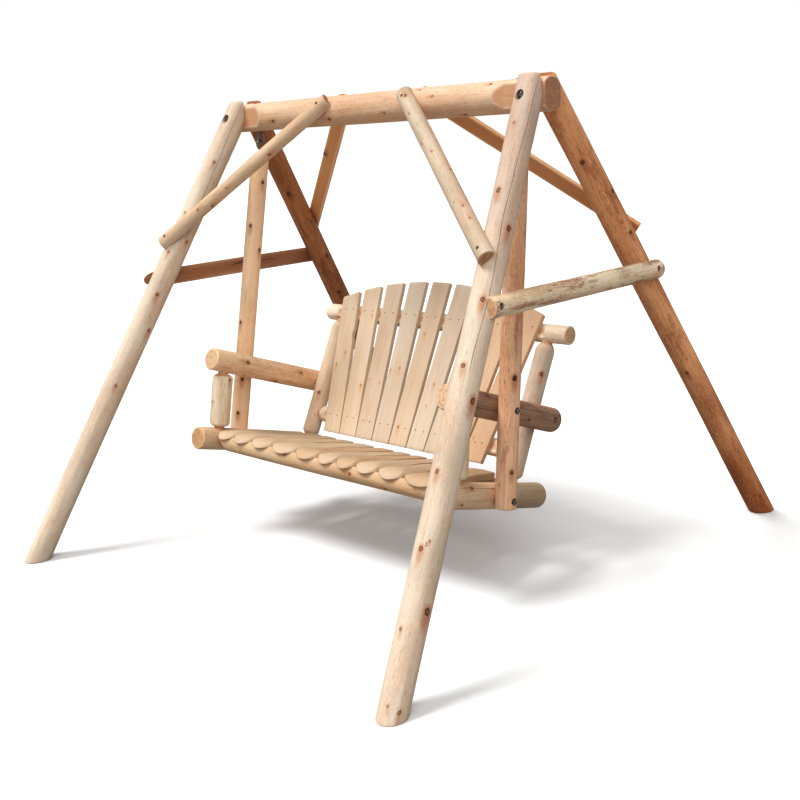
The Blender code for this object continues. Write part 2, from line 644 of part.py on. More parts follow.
# Back rails are planed flat where the slats cross them
for rail, axis, t in ((top_rail, top_axis, TOP_RAIL_T), (low_rail, low_axis, LOW_RAIL_T)):
    pitch = slat_pitch + SLAT_FAN_RATIO * (t - SLAT_FOOT_T)
    wide = (SLAT_COUNT - 1) * pitch + slat_wide + 2 * SLAT_FLAT_PAST
    origin = axis + forward * (SLAT_BACK + OVERRUN / 2)
    saw(rail, axes(origin, (1.0, 0.0, 0.0), recline, forward), (wide, 3 * TOP_RAIL_R, OVERRUN), swing)

# Back slats: nine boards fanned out from the seat
slat_origin = back_foot + recline * SLAT_FOOT_T + forward * (SLAT_BACK + CLEAR + SLAT_THICK / 2)
slat_place = axes(slat_origin, (1.0, 0.0, 0.0), recline, forward)
for number in range(SLAT_COUNT):
    place = number - (SLAT_COUNT - 1) / 2
    lean = place * SLAT_FAN_RATIO
    half = slat_wide / 2 / math.cos(math.atan(lean))
    foot = place * slat_pitch
    outline = [(foot - half, 0.0), (foot + half, 0.0)]
    for i in range(9):
        across = half * (1.0 - i / 4)
        x = foot + lean * SLAT_TOP + across
        top = SLAT_TOP - x * x / (2 * SLAT_ARC_R)
        outline.append((foot + lean * top + across, top))
    if number == 0:
        outline = eased(outline, len(outline) - 1)
    if number == SLAT_COUNT - 1:
        outline = eased(outline, 2)
    mesh = plate("back_slat_" + str(number + 1), outline, SLAT_THICK / 2, SLAT_EDGE)
    put(bpy.data.objects.new(mesh.name, mesh), slat_place, swing, slat_wood)

# Seat slats: half-log slabs with tongue noses, laid on the planed rails
seat_front = -SEAT_OVERHANG
seat_rear = seat_depth - SEAT_REAR_SHORT
side_view = [(seat_rear, CLEAR), (seat_rear, SEAT_THICK - 0.010), (seat_rear - 0.006, SEAT_THICK - 0.004)]
side_view.append((seat_rear - 0.02, SEAT_THICK))
for i in range(6):
    turn = math.pi / 2 * i / 5
    nose = seat_front + NOSE_ROUND * (1.0 - math.sin(turn))
    side_view.append((nose, NOSE_THICK + (SEAT_THICK - NOSE_THICK) * math.cos(turn)))
side_view.append((seat_front, CLEAR))
for number in range(len(SEAT_EDGES) - 1):
    name = "seat_slat_" + str(number + 1)
    left = SEAT_EDGES[number] + SEAT_GAP / 2
    right = SEAT_EDGES[number + 1] - SEAT_GAP / 2
    middle = (left + right) / 2
    half = (right - left) / 2
    rear_middle = middle * SEAT_REAR_SCALE
    rear_half = half * SEAT_REAR_SCALE
    mesh = plate(name, side_view, half + 0.02)
    mesh.transform(axes((0.0, 0.0, 0.0), (0.0, 1.0, 0.0), (0.0, 0.0, 1.0), (1.0, 0.0, 0.0)))
    mesh.transform(Matrix.Translation((middle * 0.93, 0.0, 0.0)))
    slat = put(bpy.data.objects.new(name, mesh), seat_place, swing, slat_wood)
    plan = []
    for i in range(11):
        turn = math.pi * (1.0 + i / 10)
        plan.append((middle + half * math.cos(turn), seat_front + NOSE_LENGTH * (1.0 + math.sin(turn))))
    for i in range(5):
        turn = math.pi * i / 4
        plan.append((rear_middle + rear_half * math.cos(turn), seat_rear - 0.02 + 0.02 * math.sin(turn)))
    tongue = bpy.data.objects.new(name + "_plan", plate(name + "_plan", plan, OVERRUN))
    combine(slat, hide_cutter(tongue, seat_place, swing), "INTERSECT")
    crown_r = (half * half + SEAT_EDGE_DROP * SEAT_EDGE_DROP) / (2 * SEAT_EDGE_DROP)
    ends = flat_end(crown_r, 0.001)
    crown_z = SEAT_THICK - crown_r
    start = Vector((middle, seat_front - 0.05, crown_z))
    finish = Vector((rear_middle, seat_rear + 0.05, crown_z))
    long = (finish - start).length
    rounds = [(r, long - d) for r, d in ends] + [(r, d) for r, d in reversed(ends)]
    round_log = spun(name + "_log", rounds, 40)
    crown = bpy.data.objects.new(round_log.name, baked(round_log))
    combine(slat, hide_cutter(crown, seat_place @ aim(start, finish), swing), "INTERSECT")
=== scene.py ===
"""Dressed model of a log yard swing: peeled logs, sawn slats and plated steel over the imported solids.

Metres, +Z up, +X along the beam, -Y the front; left and right are those of someone facing the front.
"""
import math
from types import SimpleNamespace

import bpy
import numpy as np
from mathutils import Matrix


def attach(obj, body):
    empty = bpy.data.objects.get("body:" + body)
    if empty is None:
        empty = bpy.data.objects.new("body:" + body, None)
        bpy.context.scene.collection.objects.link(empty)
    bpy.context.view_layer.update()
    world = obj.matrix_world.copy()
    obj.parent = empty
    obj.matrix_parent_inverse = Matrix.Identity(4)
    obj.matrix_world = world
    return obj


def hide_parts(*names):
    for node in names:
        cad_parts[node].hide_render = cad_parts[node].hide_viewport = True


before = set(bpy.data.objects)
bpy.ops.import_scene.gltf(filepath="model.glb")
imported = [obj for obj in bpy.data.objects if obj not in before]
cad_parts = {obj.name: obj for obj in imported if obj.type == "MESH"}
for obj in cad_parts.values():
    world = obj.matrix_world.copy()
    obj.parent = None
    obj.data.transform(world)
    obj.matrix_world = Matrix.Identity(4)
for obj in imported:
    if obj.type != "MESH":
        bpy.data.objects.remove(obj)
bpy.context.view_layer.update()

# Camera: stands off the right front corner, a little under the beam's height, with the lens, the tilt
# and the slight roll of the photograph.
turn, tilt, roll = 0.79313, 0.23501, -0.06311
stand_point = (3.25596, -3.16413, 1.67053)
UP = (0.0, 0.0, 1.0)


def shown(name, data):
    """A new object of some data, linked into the scene."""
    thing = bpy.data.objects.new(name, data)
    bpy.context.scene.collection.objects.link(thing)
    return thing


def aim(thing, x, y, z, spot):
    """Object set at a spot with its axes along x, y and z."""
    placed = np.column_stack([x, y, z, spot])
    thing.matrix_world = Matrix(np.vstack([placed, (0.0, 0.0, 0.0, 1.0)]).tolist())


toward_eye = np.array([math.sin(turn) * math.cos(tilt), -math.cos(turn) * math.cos(tilt), math.sin(tilt)])
level = np.cross(-toward_eye, UP)
level /= np.linalg.norm(level)
rise = np.cross(level, -toward_eye)
lens = bpy.data.cameras.new("photo_lens")
lens.sensor_width = 36.0
lens.lens = 51.19
camera = shown("photo_camera", lens)
aim(camera, math.cos(roll) * level + math.sin(roll) * rise, math.cos(roll) * rise - math.sin(roll) * level,
    toward_eye, stand_point)
bpy.context.scene.camera = camera
bpy.context.scene.view_settings.view_transform = "Standard"

# Top beam: one peeled softwood log, 116 mm through and 1.72 m long, sawn flat front and back at each end
# where the legs clasp it, planed at the four brace seats and bored on top for the eye bolts' nuts.
BEAM_Z, BEAM_R, BEAM_HALF = 1.75, 0.058, 0.862
BEAM_FLAT, FLAT_FROM, FLAT_FULL = 0.041, 0.63, 0.68
EYE_X, NUT_BORE_R, NUT_BORE_DEEP = 0.7111, 0.0185, 0.016
SIDES, ENDS = (("left", -1), ("right", 1)), (("front", -1), ("rear", 1))


def unit(vector):
    """The vector divided by its own length."""
    vector = np.asarray(vector, float)
    return vector / np.linalg.norm(vector)


def wrapped(angle):
    """The same angle between minus and plus half a turn."""
    return (angle + math.pi) % (2 * math.pi) - math.pi


def sawn_end(radius, ease):
    """(radius, depth, end grain) rows of a sawn end: a quarter circle of the ease from the face to the skin."""
    bend = np.radians((0.0, 30.0, 60.0, 90.0))
    rows = np.column_stack([radius - ease + ease * np.sin(bend), ease * (1.0 - np.cos(bend)), np.cos(bend) ** 2])
    return SimpleNamespace(rows=rows, face=True)


def domed_end(radius, depth):
    """(radius, depth, end grain) rows of a rounded end: a quarter ellipse from near the pole to the skin."""
    bend = np.radians(np.linspace(4.0, 90.0, 14))
    rows = np.column_stack([radius * np.sin(bend), depth * (1.0 - np.cos(bend)), np.cos(bend) ** 1.5])
    return SimpleNamespace(rows=rows, face=False)


def tenoned_end(radius, tenon, length, shoulder):
    """(radius, depth, end grain) rows of a turned tenon: a straight peg, then a shoulder between a cone and a
    quarter ellipse."""
    bend = np.radians(np.linspace(8.0, 90.0, 10))
    peg = np.linspace(0.002, length, 6)
    face = np.column_stack([[tenon * 0.5, tenon - 0.002], [0.0, 0.0], [1.0, 1.0]])
    side = np.column_stack([np.full(6, tenon), peg, np.zeros(6)])
    fall = 0.35 * (1.0 - np.cos(bend)) + 0.65 * bend / (math.pi / 2)
    cone = np.column_stack([tenon + (radius - tenon) * np.sin(bend), length + shoulder * fall, 0.4 * np.cos(bend)])
    return SimpleNamespace(rows=np.vstack([face, side, cone]), face=False)


# spacing of a log's grid, even and where it is bored; how far chance knots keep clear of known ones, a knot's
# length to its width and its swelling; and the waves of the round as (turns, share of the radius)
ROW_STEP, FINE_STEP, FINE_REACH = 0.008, 0.0016, 0.032
COLUMNS, WEDGE_STEP = 64, 0.0015
KNOT_CLEAR, KNOT_LONG, KNOT_SWELL = 0.06, 1.25, 0.0006
LOG_WAVES = ((1, 0.016), (2, 0.006), (3, 0.006), (4, 0.004), (6, 0.003), (11, 0.003))


def log_rows(low, high, fine):
    """Places along a log between its ends: even rows, and closer ones about each place that is bored."""
    rows = np.linspace(low, high, max(int((high - low) / ROW_STEP), 8) + 1)[1:-1]
    for spot in fine:
        rows = rows[np.abs(rows - spot) > FINE_REACH + 0.001]
    close = [np.arange(spot - FINE_REACH, spot + FINE_REACH + 0.001, FINE_STEP) for spot in fine]
    rows = np.sort(np.concatenate([rows] + close))
    return rows[(rows > low + 0.0005) & (rows < high - 0.0005)]


def log_columns(radius, wedge, seams):
    """Angles round a log: even ones, closer ones in a wedge about zero, and one at each seam."""
    around = np.linspace(-math.pi, math.pi, COLUMNS, endpoint=False)
    if wedge:
        close = np.linspace(-wedge, wedge, int(2 * wedge * radius / WEDGE_STEP))
        around = np.concatenate([around[np.abs(around) > wedge + 0.02], close])
    return np.sort(np.concatenate([around, np.array(seams, float)]))


def knot_field(rng, s, a, length, radius, knots, more):
    """Knot marks and swelling of a log's points from known knots and some more by chance, kept clear of them.

    Marks are (along, round) to the nearest knot in its own radii, and its strength, which fades out where the stain
    that trails toward the foot ends. The swelling is a bell curve over each knot.
    """
    chance = np.column_stack([rng.uniform(0.04, length - 0.04, more), rng.uniform(-math.pi, math.pi, more),
                              rng.uniform(0.0032, 0.0070, more)])
    known = np.array(knots, float).reshape(-1, 3)
    for spot in known:
        aside = wrapped(chance[:, 1] - spot[1]) * radius
        chance = chance[np.hypot(chance[:, 0] - spot[0], aside) > KNOT_CLEAR]
    known = np.vstack([known, chance, [(-1.0, 0.0, 0.005)]])
    ds = s[..., None] - known[:, 0]
    da = wrapped(a[..., None] - known[:, 1])
    places = np.stack(np.broadcast_arrays(ds / (known[:, 2] * KNOT_LONG), da * radius / known[:, 2]), -1)
    nearest = np.argmin((places ** 2).sum(-1), axis=-1)
    place = np.take_along_axis(places, nearest[..., None, None], axis=2)[:, :, 0]
    trail = np.minimum(place[..., 0], 0.0) * 0.34 + np.maximum(place[..., 0], 0.0) * 0.9
    strong = np.clip(known[:, 2] / 0.007, 0.7, 1.6)[nearest]
    near = np.clip((3.0 - np.hypot(trail, place[..., 1])) / 0.5, 0.0, 1.0) * strong
    return np.dstack([place, near]), KNOT_SWELL * np.exp(-(place ** 2).sum(-1) / 5.0)


def check_field(rng, s, a, length, radius, check):
    """Marks of a drying check: distance round the log to its path, which closes past its ends, and nearness to it.

    The path runs through known (along, angle) points, or wanders by chance along the middle of the log.
    """
    if len(check):
        path = np.array(check, float)
    else:
        middle, reach = rng.uniform(0.3, 0.7) * length, rng.uniform(0.10, 0.28) * length
        path = np.column_stack([np.linspace(middle - reach, middle + reach, 5),
                                rng.uniform(-math.pi, math.pi) + np.cumsum(rng.normal(0.0, 0.05, 5))])
    path = path[np.argsort(path[:, 0])]
    gap = wrapped(a - np.interp(s, path[:, 0], path[:, 1])) * radius
    past = np.maximum(path[0, 0] - s, s - path[-1, 0])
    near = np.clip(2.0 - np.abs(gap) / (0.4 * radius), 0.0, 1.0) * np.clip(1.0 - past / 0.02, 0.0, 1.0)
    gap = np.where(gap < 0, -1.0, 1.0) * (np.abs(gap) + np.maximum(past + 0.05, 0.0) * 0.02)
    return np.dstack([gap, near, 0.0 * gap])


def rough_log(start, end, radius, face, seed, foot, head, more, knots=(), check=(), fine=(), wedge=0.0, seams=(),
              level_ends=False, facets=0.0):
    """A log as a grid of rows along and columns round: point = start + axis * along + radius * direction(around).

    The radius swells and shrinks by a sum of slow waves and rises a little over each knot. Level ends are sheared
    so that they lie level. Facets blend the round toward eight flats. Around is measured from face, right-handed
    about axis.
    """
    rng = np.random.default_rng(seed)
    start, end = np.array(start, float), np.array(end, float)
    length = np.linalg.norm(end - start)
    axis = (end - start) / length
    face = unit(np.asarray(face, float) - axis * np.dot(face, axis))
    other = np.cross(axis, face)
    rows = log_rows(foot.rows[-1, 1], length - head.rows[-1, 1], fine)
    along = np.concatenate([foot.rows[:, 1], rows, length - head.rows[::-1, 1]])
    thick = np.concatenate([foot.rows[:, 0], np.full(len(rows), radius), head.rows[::-1, 0]])
    grainy = np.concatenate([foot.rows[:, 2], np.zeros(len(rows)), head.rows[::-1, 2]])
    around = log_columns(radius, wedge, seams)
    s, a = along[:, None], around[None, :]
    wave = np.zeros((len(along), len(around)))
    for turns, size in LOG_WAVES:
        wave += size * np.cos(turns * a + rng.normal(0.0, 5.0) * s + rng.uniform(0.0, 6.3))
    knot, swell = knot_field(rng, s, a, length, radius, knots, more)
    split = check_field(rng, s, a, length, radius, check)
    wave = wave + facets * (math.cos(math.pi / 8) / np.cos(a % (math.pi / 4) - math.pi / 8) - 0.97)
    reach = thick[:, None] * (1.0 + wave) + swell * (thick[:, None] / radius)
    spoke = np.cos(around)[:, None] * face + np.sin(around)[:, None] * other
    offset = reach[..., None] * spoke
    slide = np.zeros_like(wave)
    if level_ends:
        for near in (along, length - along):
            slide += -(offset[..., 2] / axis[2]) * np.clip(1.0 - near / 0.2, 0.0, 1.0)[:, None]
    points = start + axis * (s + slide)[..., None] + offset
    return SimpleNamespace(points=points, skin=points.copy(), centre=(start + axis * along[:, None])[:, None, :],
                           start=start, axis=axis, face=face, other=other, length=length, radius=radius, seed=seed,
                           thick=thick, grainy=np.repeat(grainy[:, None], len(around), 1), knot=knot, split=split,
                           bored=np.zeros_like(wave), ends=(foot, head))


def shave(log, spot, normal, zone=True):
    """Flat sawn on a log: points beyond the plane through spot slide toward the centre line until they lie in it."""
    over = (log.points - spot) @ normal
    reach = (log.points - log.centre) @ normal
    share = np.where((over > 0.0) & zone, over / np.where(reach > 1e-6, reach, 1.0), 0.0)
    log.points = log.points - (log.points - log.centre) * share[..., None]


def grown(mask):
    """Mask of grid points grown by one point every way."""
    mask = mask | np.roll(mask, 1, 0) | np.roll(mask, -1, 0)
    return mask | np.roll(mask, 1, 1) | np.roll(mask, -1, 1)


def bore(log, floor, outward, radius):
    """Flat-bottomed hole: points inside the drill's circle drop to the floor, the outermost of them stand at the
    wall's foot, and their neighbours outside move in to the rim."""
    outward = unit(outward)
    rel = log.points - floor
    depth = rel @ outward
    flat = rel - depth[..., None] * outward
    away = np.linalg.norm(flat, axis=-1)
    inside = (away < radius) & (depth > 0.0)
    rim = grown(inside) & ~inside & (depth > 0.0)
    aimed = np.where(rim, radius, np.where(inside & grown(~inside), radius * 0.985, away))
    flat = flat * (aimed / np.maximum(away, 1e-9))[..., None]
    depth = np.where(inside, 0.0, depth)
    # the hole is marked so that its wood is darkened: painted shade in the recess
    log.bored = np.where(inside, 1.0, log.bored)
    log.points = np.where((inside | rim)[..., None], floor + flat + depth[..., None] * outward, log.points)


def capped(grid, first, last):
    """Points and faces of a grid whose columns close round, with a fan to a pole at each end."""
    rows, cols = grid.shape[:2]
    here = np.arange(rows * cols).reshape(rows, cols)
    beside = np.roll(here, -1, axis=1)
    faces = np.stack([here[:-1], beside[:-1], beside[1:], here[1:]], -1).reshape(-1, 4).tolist()
    faces += np.stack([beside[0], here[0], np.full(cols, rows * cols)], -1).tolist()
    faces += np.stack([here[-1], beside[-1], np.full(cols, rows * cols + 1)], -1).tolist()
    return np.vstack([grid.reshape(-1, 3), first, last]), faces


def make_piece(name, points, faces, material, body, slot, nodes=(), marks=None, crease=38.0):
    """Mesh object at the origin with smooth faces, creased edges and named vector marks on its points."""
    mesh = bpy.data.meshes.new(name)
    mesh.from_pydata(points.tolist(), [], faces)
    for label, values in (marks or {}).items():
        layer = mesh.attributes.new(label, "FLOAT_VECTOR", "POINT")
        layer.data.foreach_set("vector", values.astype(np.float32).ravel())
    mesh.shade_smooth()
    mesh.set_sharp_from_angle(angle=math.radians(crease))
    mesh.materials.append(material)
    piece = shown(name, mesh)
    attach(piece, body)
    if nodes:
        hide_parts(*nodes)
    return piece


# how far a log's grain starts from the grain of the log with the next lower seed, and the rings of a sawn face
GRAIN_STEP = 1.7
FACE_RINGS = np.array([0.25, 0.5, 0.75, 0.92])


def finish_log(log, name, material, body, slot, place=None):
    """Closes a log's ends, marks its points with grain, knots and cuts, and stands it for its solid."""
    removed = np.linalg.norm(log.skin - log.points, axis=-1)
    turned = np.clip((log.radius - log.thick)[:, None] / 0.006 + np.zeros_like(removed), 0.0, 1.0)
    shaved = np.maximum(np.clip(removed / 0.0015, 0.0, 1.0), turned)
    sheets, poles = [log.points, np.dstack([log.grainy, shaved, log.bored]), log.knot, log.split], []
    for index, end in ((0, log.ends[0]), (-1, log.ends[1])):
        middle = log.centre[index]
        tip = log.start + log.axis * (log.length if index else 0.0)
        poles.append(np.asarray(middle if end.face else tip).reshape(1, 3))
        if end.face:
            share = (FACE_RINGS if index == 0 else FACE_RINGS[::-1])[:, None, None]
            face_cut = np.repeat(sheets[1][[index]], len(share), 0)
            face_cut[..., 0] = 1.0
            blank = np.zeros_like(face_cut)
            added = (middle + share * (sheets[0][index] - middle), face_cut, blank, blank)
            pairs = zip(added, sheets) if index == 0 else zip(sheets, added)
            sheets = [np.concatenate(pair) for pair in pairs]
    points, faces = capped(sheets[0], *poles)
    rel = points - log.start
    marks = {"grain": np.column_stack([rel @ log.face, rel @ log.other, rel @ log.axis + GRAIN_STEP * log.seed])}
    for label, sheet, at_pole in zip(("cut", "knot", "split"), sheets[1:], ((1.0, 1.0, 0.0), (0.0,) * 3, (0.0,) * 3)):
        marks[label] = np.vstack([sheet.reshape(-1, 3), at_pole, at_pole])
    if place is not None:
        points = place(points)
    return make_piece(name, points, faces, material, body, slot, (name,), marks)


def paint(red, green, blue):
    """Linear colour of three screen values from 0 to 255."""
    value = np.array([red, green, blue]) / 255.0
    linear = np.where(value <= 0.04045, value / 12.92, ((value + 0.055) / 1.055) ** 2.4)
    return (*linear.tolist(), 1.0)


def plug(tree, node, sockets):
    """A node with its sockets set to a value or linked to another node's output."""
    for key, value in sockets.items():
        if isinstance(value, bpy.types.NodeSocket):
            tree.links.new(value, node.inputs[key])
        else:
            node.inputs[key].default_value = value
    return node


def add(tree, kind, sockets=None, **settings):
    """A new shader node with its settings made and its sockets plugged."""
    node = tree.nodes.new(kind)
    for key, value in settings.items():
        setattr(node, key, value)
    return plug(tree, node, sockets or {})


def calc(tree, operation, first, second=0.0):
    """Output of a Math node."""
    return add(tree, "ShaderNodeMath", {0: first, 1: second}, operation=operation).outputs[0]


def times(tree, first, second):
    """Product of two values."""
    return calc(tree, "MULTIPLY", first, second)


def about(tree, noise, size):
    """Noise from nought to one made to swing about nought, by so much."""
    return times(tree, calc(tree, "SUBTRACT", noise, 0.5), size)


def parted(tree, vector):
    """The three parts of a vector."""
    return add(tree, "ShaderNodeSeparateXYZ", {0: vector}).outputs


def span(tree, first, second):
    """Root of the sum of two squares."""
    flat = add(tree, "ShaderNodeCombineXYZ", {0: first, 1: second}).outputs[0]
    return add(tree, "ShaderNodeVectorMath", {0: flat}, operation="LENGTH").outputs["Value"]


def ranged(tree, value, low, high, at_low=0.0, at_high=1.0):
    """Smooth step of a value between two limits."""
    sockets = {"Value": value, "From Min": low, "From Max": high, "To Min": at_low, "To Max": at_high}
    return add(tree, "ShaderNodeMapRange", sockets, interpolation_type="SMOOTHSTEP").outputs["Result"]


def tinted(tree, share, first, second, blend="MIX"):
    """Colour that goes from the first to the second by a share."""
    sockets = {0: share, 6: first, 7: second}
    return add(tree, "ShaderNodeMix", sockets, data_type="RGBA", blend_type=blend).outputs[2]


def wash(tree, tone, share, colour, most=None):
    """A tone washed over with a screen colour by a share, or by most of it."""
    return tinted(tree, share if most is None else times(tree, share, most), tone, paint(*colour))


def dented(tree, height, strength, distance):
    """Normal of a bumpy surface."""
    sockets = {"Strength": strength, "Distance": distance, "Height": height}
    return add(tree, "ShaderNodeBump", sockets).outputs["Normal"]


def finish(name):
    """A new material with its node tree and its shader."""
    material = bpy.data.materials.new(name)
    material.use_nodes = True
    return material, material.node_tree, material.node_tree.nodes["Principled BSDF"]


def mark(tree, label):
    """Named vector that the mesh carries on its points."""
    return add(tree, "ShaderNodeAttribute", attribute_name=label).outputs["Vector"]


def effect(name, takes, gives):
    """An empty node group with its named inputs and outputs."""
    tree = bpy.data.node_groups.new(name, "ShaderNodeTree")
    for label, kind in takes.items():
        tree.interface.new_socket(label, in_out="INPUT", socket_type="NodeSocket" + kind)
    for label in gives:
        tree.interface.new_socket(label, in_out="OUTPUT", socket_type="NodeSocketFloat")
    return tree, tree.nodes.new("NodeGroupInput").outputs, tree.nodes.new("NodeGroupOutput")


def fill(tree, group, sockets):
    """Outputs of a node group with its sockets plugged."""
    return add(tree, "ShaderNodeGroup", sockets, node_tree=group).outputs


# wood fibre: noise stretched along the grain, so many cells per metre across and along
fibre_bands, taken, given = effect("fibre_bands", {"Grain": "Vector", "Across": "Float", "Along": "Float"}, ["Value"])
spacing = add(fibre_bands, "ShaderNodeCombineXYZ", {0: taken["Across"], 1: taken["Across"], 2: taken["Along"]})
drawn = add(fibre_bands, "ShaderNodeVectorMath", {0: taken["Grain"], 1: spacing.outputs[0]}, operation="MULTIPLY")
cells = add(fibre_bands, "ShaderNodeTexNoise", {"Vector": drawn.outputs[0], "Scale": 1.0, "Detail": 4.0,
                                                "Roughness": 0.55})
plug(fibre_bands, given, {"Value": cells.outputs["Fac"]})


def bands(tree, grain, across, along):
    """Value of the wood fibre."""
    return fill(tree, fibre_bands, {"Grain": grain, "Across": across, "Along": along})["Value"]


# knots: a brown heart with a dark rim, and a stain that trails along the grain toward the foot
tree, taken, given = effect("knot_marks", {"Knot": "Vector", "Grain": "Vector"}, ["Heart", "Rim", "Stain"])
ahead, aside, near_knot = parted(tree, taken["Knot"])
stray = about(tree, bands(tree, taken["Grain"], 160.0, 130.0), 0.9)
far = calc(tree, "ADD", span(tree, ahead, aside), stray)
knot_heart = times(tree, ranged(tree, far, 0.72, 1.05, 1.0, 0.0), near_knot)
knot_rim = times(tree, knot_heart, ranged(tree, far, 0.35, 0.8))
below = times(tree, calc(tree, "MINIMUM", ahead, 0.0), 0.34)
above = times(tree, calc(tree, "MAXIMUM", ahead, 0.0), 0.9)
far = calc(tree, "ADD", span(tree, calc(tree, "ADD", below, above), aside), stray)
knot_stain = times(tree, ranged(tree, far, 0.7, 2.4, 1.0, 0.0), near_knot)
plug(tree, given, {"Heart": knot_heart, "Rim": knot_rim, "Stain": knot_stain})
knot_marks = tree

# drying checks: a thin ragged line where the distance to the split is small
tree, taken, given = effect("drying_checks", {"Split": "Vector", "Grain": "Vector"}, ["Line"])
aside, near_split, _ = parted(tree, taken["Split"])
stray = about(tree, bands(tree, taken["Grain"], 60.0, 30.0), 0.004)
gap = calc(tree, "ABSOLUTE", calc(tree, "ADD", aside, stray))
split_line = times(tree, ranged(tree, gap, 0.0005, 0.0012, 1.0, 0.0), near_split)
plug(tree, given, {"Line": split_line})
drying_checks = tree

# growth rings: a sine of the distance from the pith, a little wandering
tree, taken, given = effect("growth_rings", {"Grain": "Vector", "Pitch": "Float"}, ["Value"])
far = span(tree, *parted(tree, taken["Grain"])[:2])
far = calc(tree, "ADD", far, times(tree, bands(tree, taken["Grain"], 34.0, 2.4), 0.012))
ring_turns = calc(tree, "DIVIDE", times(tree, far, 6.2832), taken["Pitch"])
ring_wave = times(tree, calc(tree, "SINE", ring_turns), 0.5)
plug(tree, given, {"Value": calc(tree, "ADD", ring_wave, 0.5)})
growth_rings = tree

# what the weather leaves of a tone
WEATHERED = (0.80, 0.84, 0.82, 1.0)


def log_wood(name, radius, pale, warm, deep, cut_tone, end_pale, end_dark, bark=0.25, stain=(178, 108, 62),
             heart=(66, 38, 24), sapwood=0.70, knot_dark=0.45, toned_stretch=None):
    """Peeled log: mottled skin with streaks, fibres, inner-bark patches, knots and checks, tinted by a tone over a
    stretch toward one end if (seed, start, finish, tone) is given, which on the right side rail is a painted shadow;
    sawn and turned faces in their own tone."""
    material, tree, shader = finish(name)
    grain = mark(tree, "grain")
    end_face, shaved, bored = parted(tree, mark(tree, "cut"))
    mottle, weather = bands(tree, grain, 13.0, 2.6), bands(tree, grain, 6.0, 4.5)
    streak, fibre = bands(tree, grain, 75.0, 3.0), bands(tree, grain, 520.0, 14.0)
    fleck, scrape = bands(tree, grain, 170.0, 26.0), bands(tree, grain, 240.0, 60.0)
    patch = bands(tree, grain, 24.0, 6.0)
    rings = fill(tree, growth_rings, {"Grain": grain, "Pitch": 0.0042})["Value"]
    spots = fill(tree, knot_marks, {"Knot": mark(tree, "knot"), "Grain": grain})
    split = fill(tree, drying_checks, {"Split": mark(tree, "split"), "Grain": grain})["Line"]

    # peeled skin: mottled, weathered, streaked, scraped and flecked
    tone = tinted(tree, ranged(tree, mottle, 0.38, 0.66), paint(*pale), paint(*warm))
    greyed = tinted(tree, 1.0, tone, WEATHERED, "MULTIPLY")
    tone = tinted(tree, ranged(tree, weather, 0.46, 0.66, 0.0, 0.75), tone, greyed)
    tone = wash(tree, tone, ranged(tree, streak, 0.50, 0.80, 0.0, 0.6), deep)
    tone = wash(tree, tone, ranged(tree, fibre, 0.35, 0.75, 0.0, 0.38), deep)
    worn = times(tree, ranged(tree, scrape, 0.46, 0.66, 0.0, 0.6), ranged(tree, mottle, 0.40, 0.60, 0.25, 1.0))
    tone = wash(tree, tone, worn, deep)
    tone = wash(tree, tone, ranged(tree, fleck, 0.32, 0.45, 0.45, 0.0), pale)
    # tone over a stretch toward one end of the log; on the right side rail this is the painted shadow of the hanger
    if toned_stretch:
        seed, start, end, stretch_tone = toned_stretch
        up_log = parted(tree, grain)[2]
        share = ranged(tree, up_log, start + GRAIN_STEP * seed, end + GRAIN_STEP * seed)
        tone = tinted(tree, share, tone, tinted(tree, 1.0, tone, stretch_tone, "MULTIPLY"))

    # inner bark left in ragged patches and short dashes
    peeled = calc(tree, "SUBTRACT", 1.0, shaved)
    ragged = calc(tree, "ADD", patch, about(tree, scrape, 0.35))
    onset = 0.62 - 0.2 * bark
    inner = ranged(tree, ragged, onset, onset + 0.17, 0.0, min(1.2 * bark, 0.8))
    tone = wash(tree, tone, times(tree, inner, peeled), stain)
    dashes = ranged(tree, fleck, 0.64, 0.73, 0.0, 0.3 + bark)
    tone = wash(tree, tone, times(tree, dashes, peeled), heart)

    # sawn flats and turned tenons, darker in the heartwood; end grain with rings and saw marks
    from_pith = span(tree, *parted(tree, grain)[:2])
    wander = about(tree, mottle, 0.2 * radius)
    sap = ranged(tree, calc(tree, "ADD", from_pith, wander), sapwood * radius, (0.65 + 0.35 * sapwood) * radius)
    turned = tinted(tree, ranged(tree, rings, 0.2, 0.9, 0.0, 0.30), paint(*cut_tone), tone)
    turned = wash(tree, turned, ranged(tree, streak, 0.45, 0.75, 0.0, 0.35), deep)
    turned = wash(tree, turned, sap, pale, 0.75)
    tone = tinted(tree, times(tree, shaved, 0.9), tone, turned)
    ring_share = calc(tree, "SUBTRACT", calc(tree, "ADD", rings, 0.25), times(tree, sap, 0.9))
    sawn = tinted(tree, ranged(tree, ring_share, 0.0, 0.95), paint(*end_pale), paint(*end_dark))
    sawn = wash(tree, sawn, ranged(tree, fleck, 0.45, 0.75, 0.0, 0.5), end_dark)
    sawn = wash(tree, sawn, ranged(tree, streak, 0.40, 0.50, 0.55, 0.0), end_pale)
    sawn = wash(tree, sawn, ranged(tree, streak, 0.52, 0.64, 0.0, 0.4), deep)
    tone = tinted(tree, end_face, tone, sawn)

    # knots, checks and bores over all of it; the bores are darkened toward the heart colour, painted shade in the
    # recess with some dirt
    for share, colour, most in ((spots["Stain"], stain, 0.55), (spots["Heart"], stain, 0.8),
                                (spots["Heart"], heart, knot_dark), (spots["Rim"], heart, 0.95),
                                (split, heart, 0.9), (bored, heart, 0.8)):
        tone = wash(tree, tone, share, colour, most)
    height = calc(tree, "ADD", times(tree, fibre, 0.35), times(tree, streak, 0.9))
    height = calc(tree, "SUBTRACT", height, times(tree, split, 1.2))
    height = calc(tree, "SUBTRACT", height, times(tree, spots["Rim"], 0.5))
    plug(tree, shader, {"Base Color": tone, "Roughness": ranged(tree, fibre, 0.3, 0.7, 0.55, 0.78),
                        "Specular IOR Level": 0.3, "Normal": dented(tree, height, 0.45, 0.0012)})
    return material


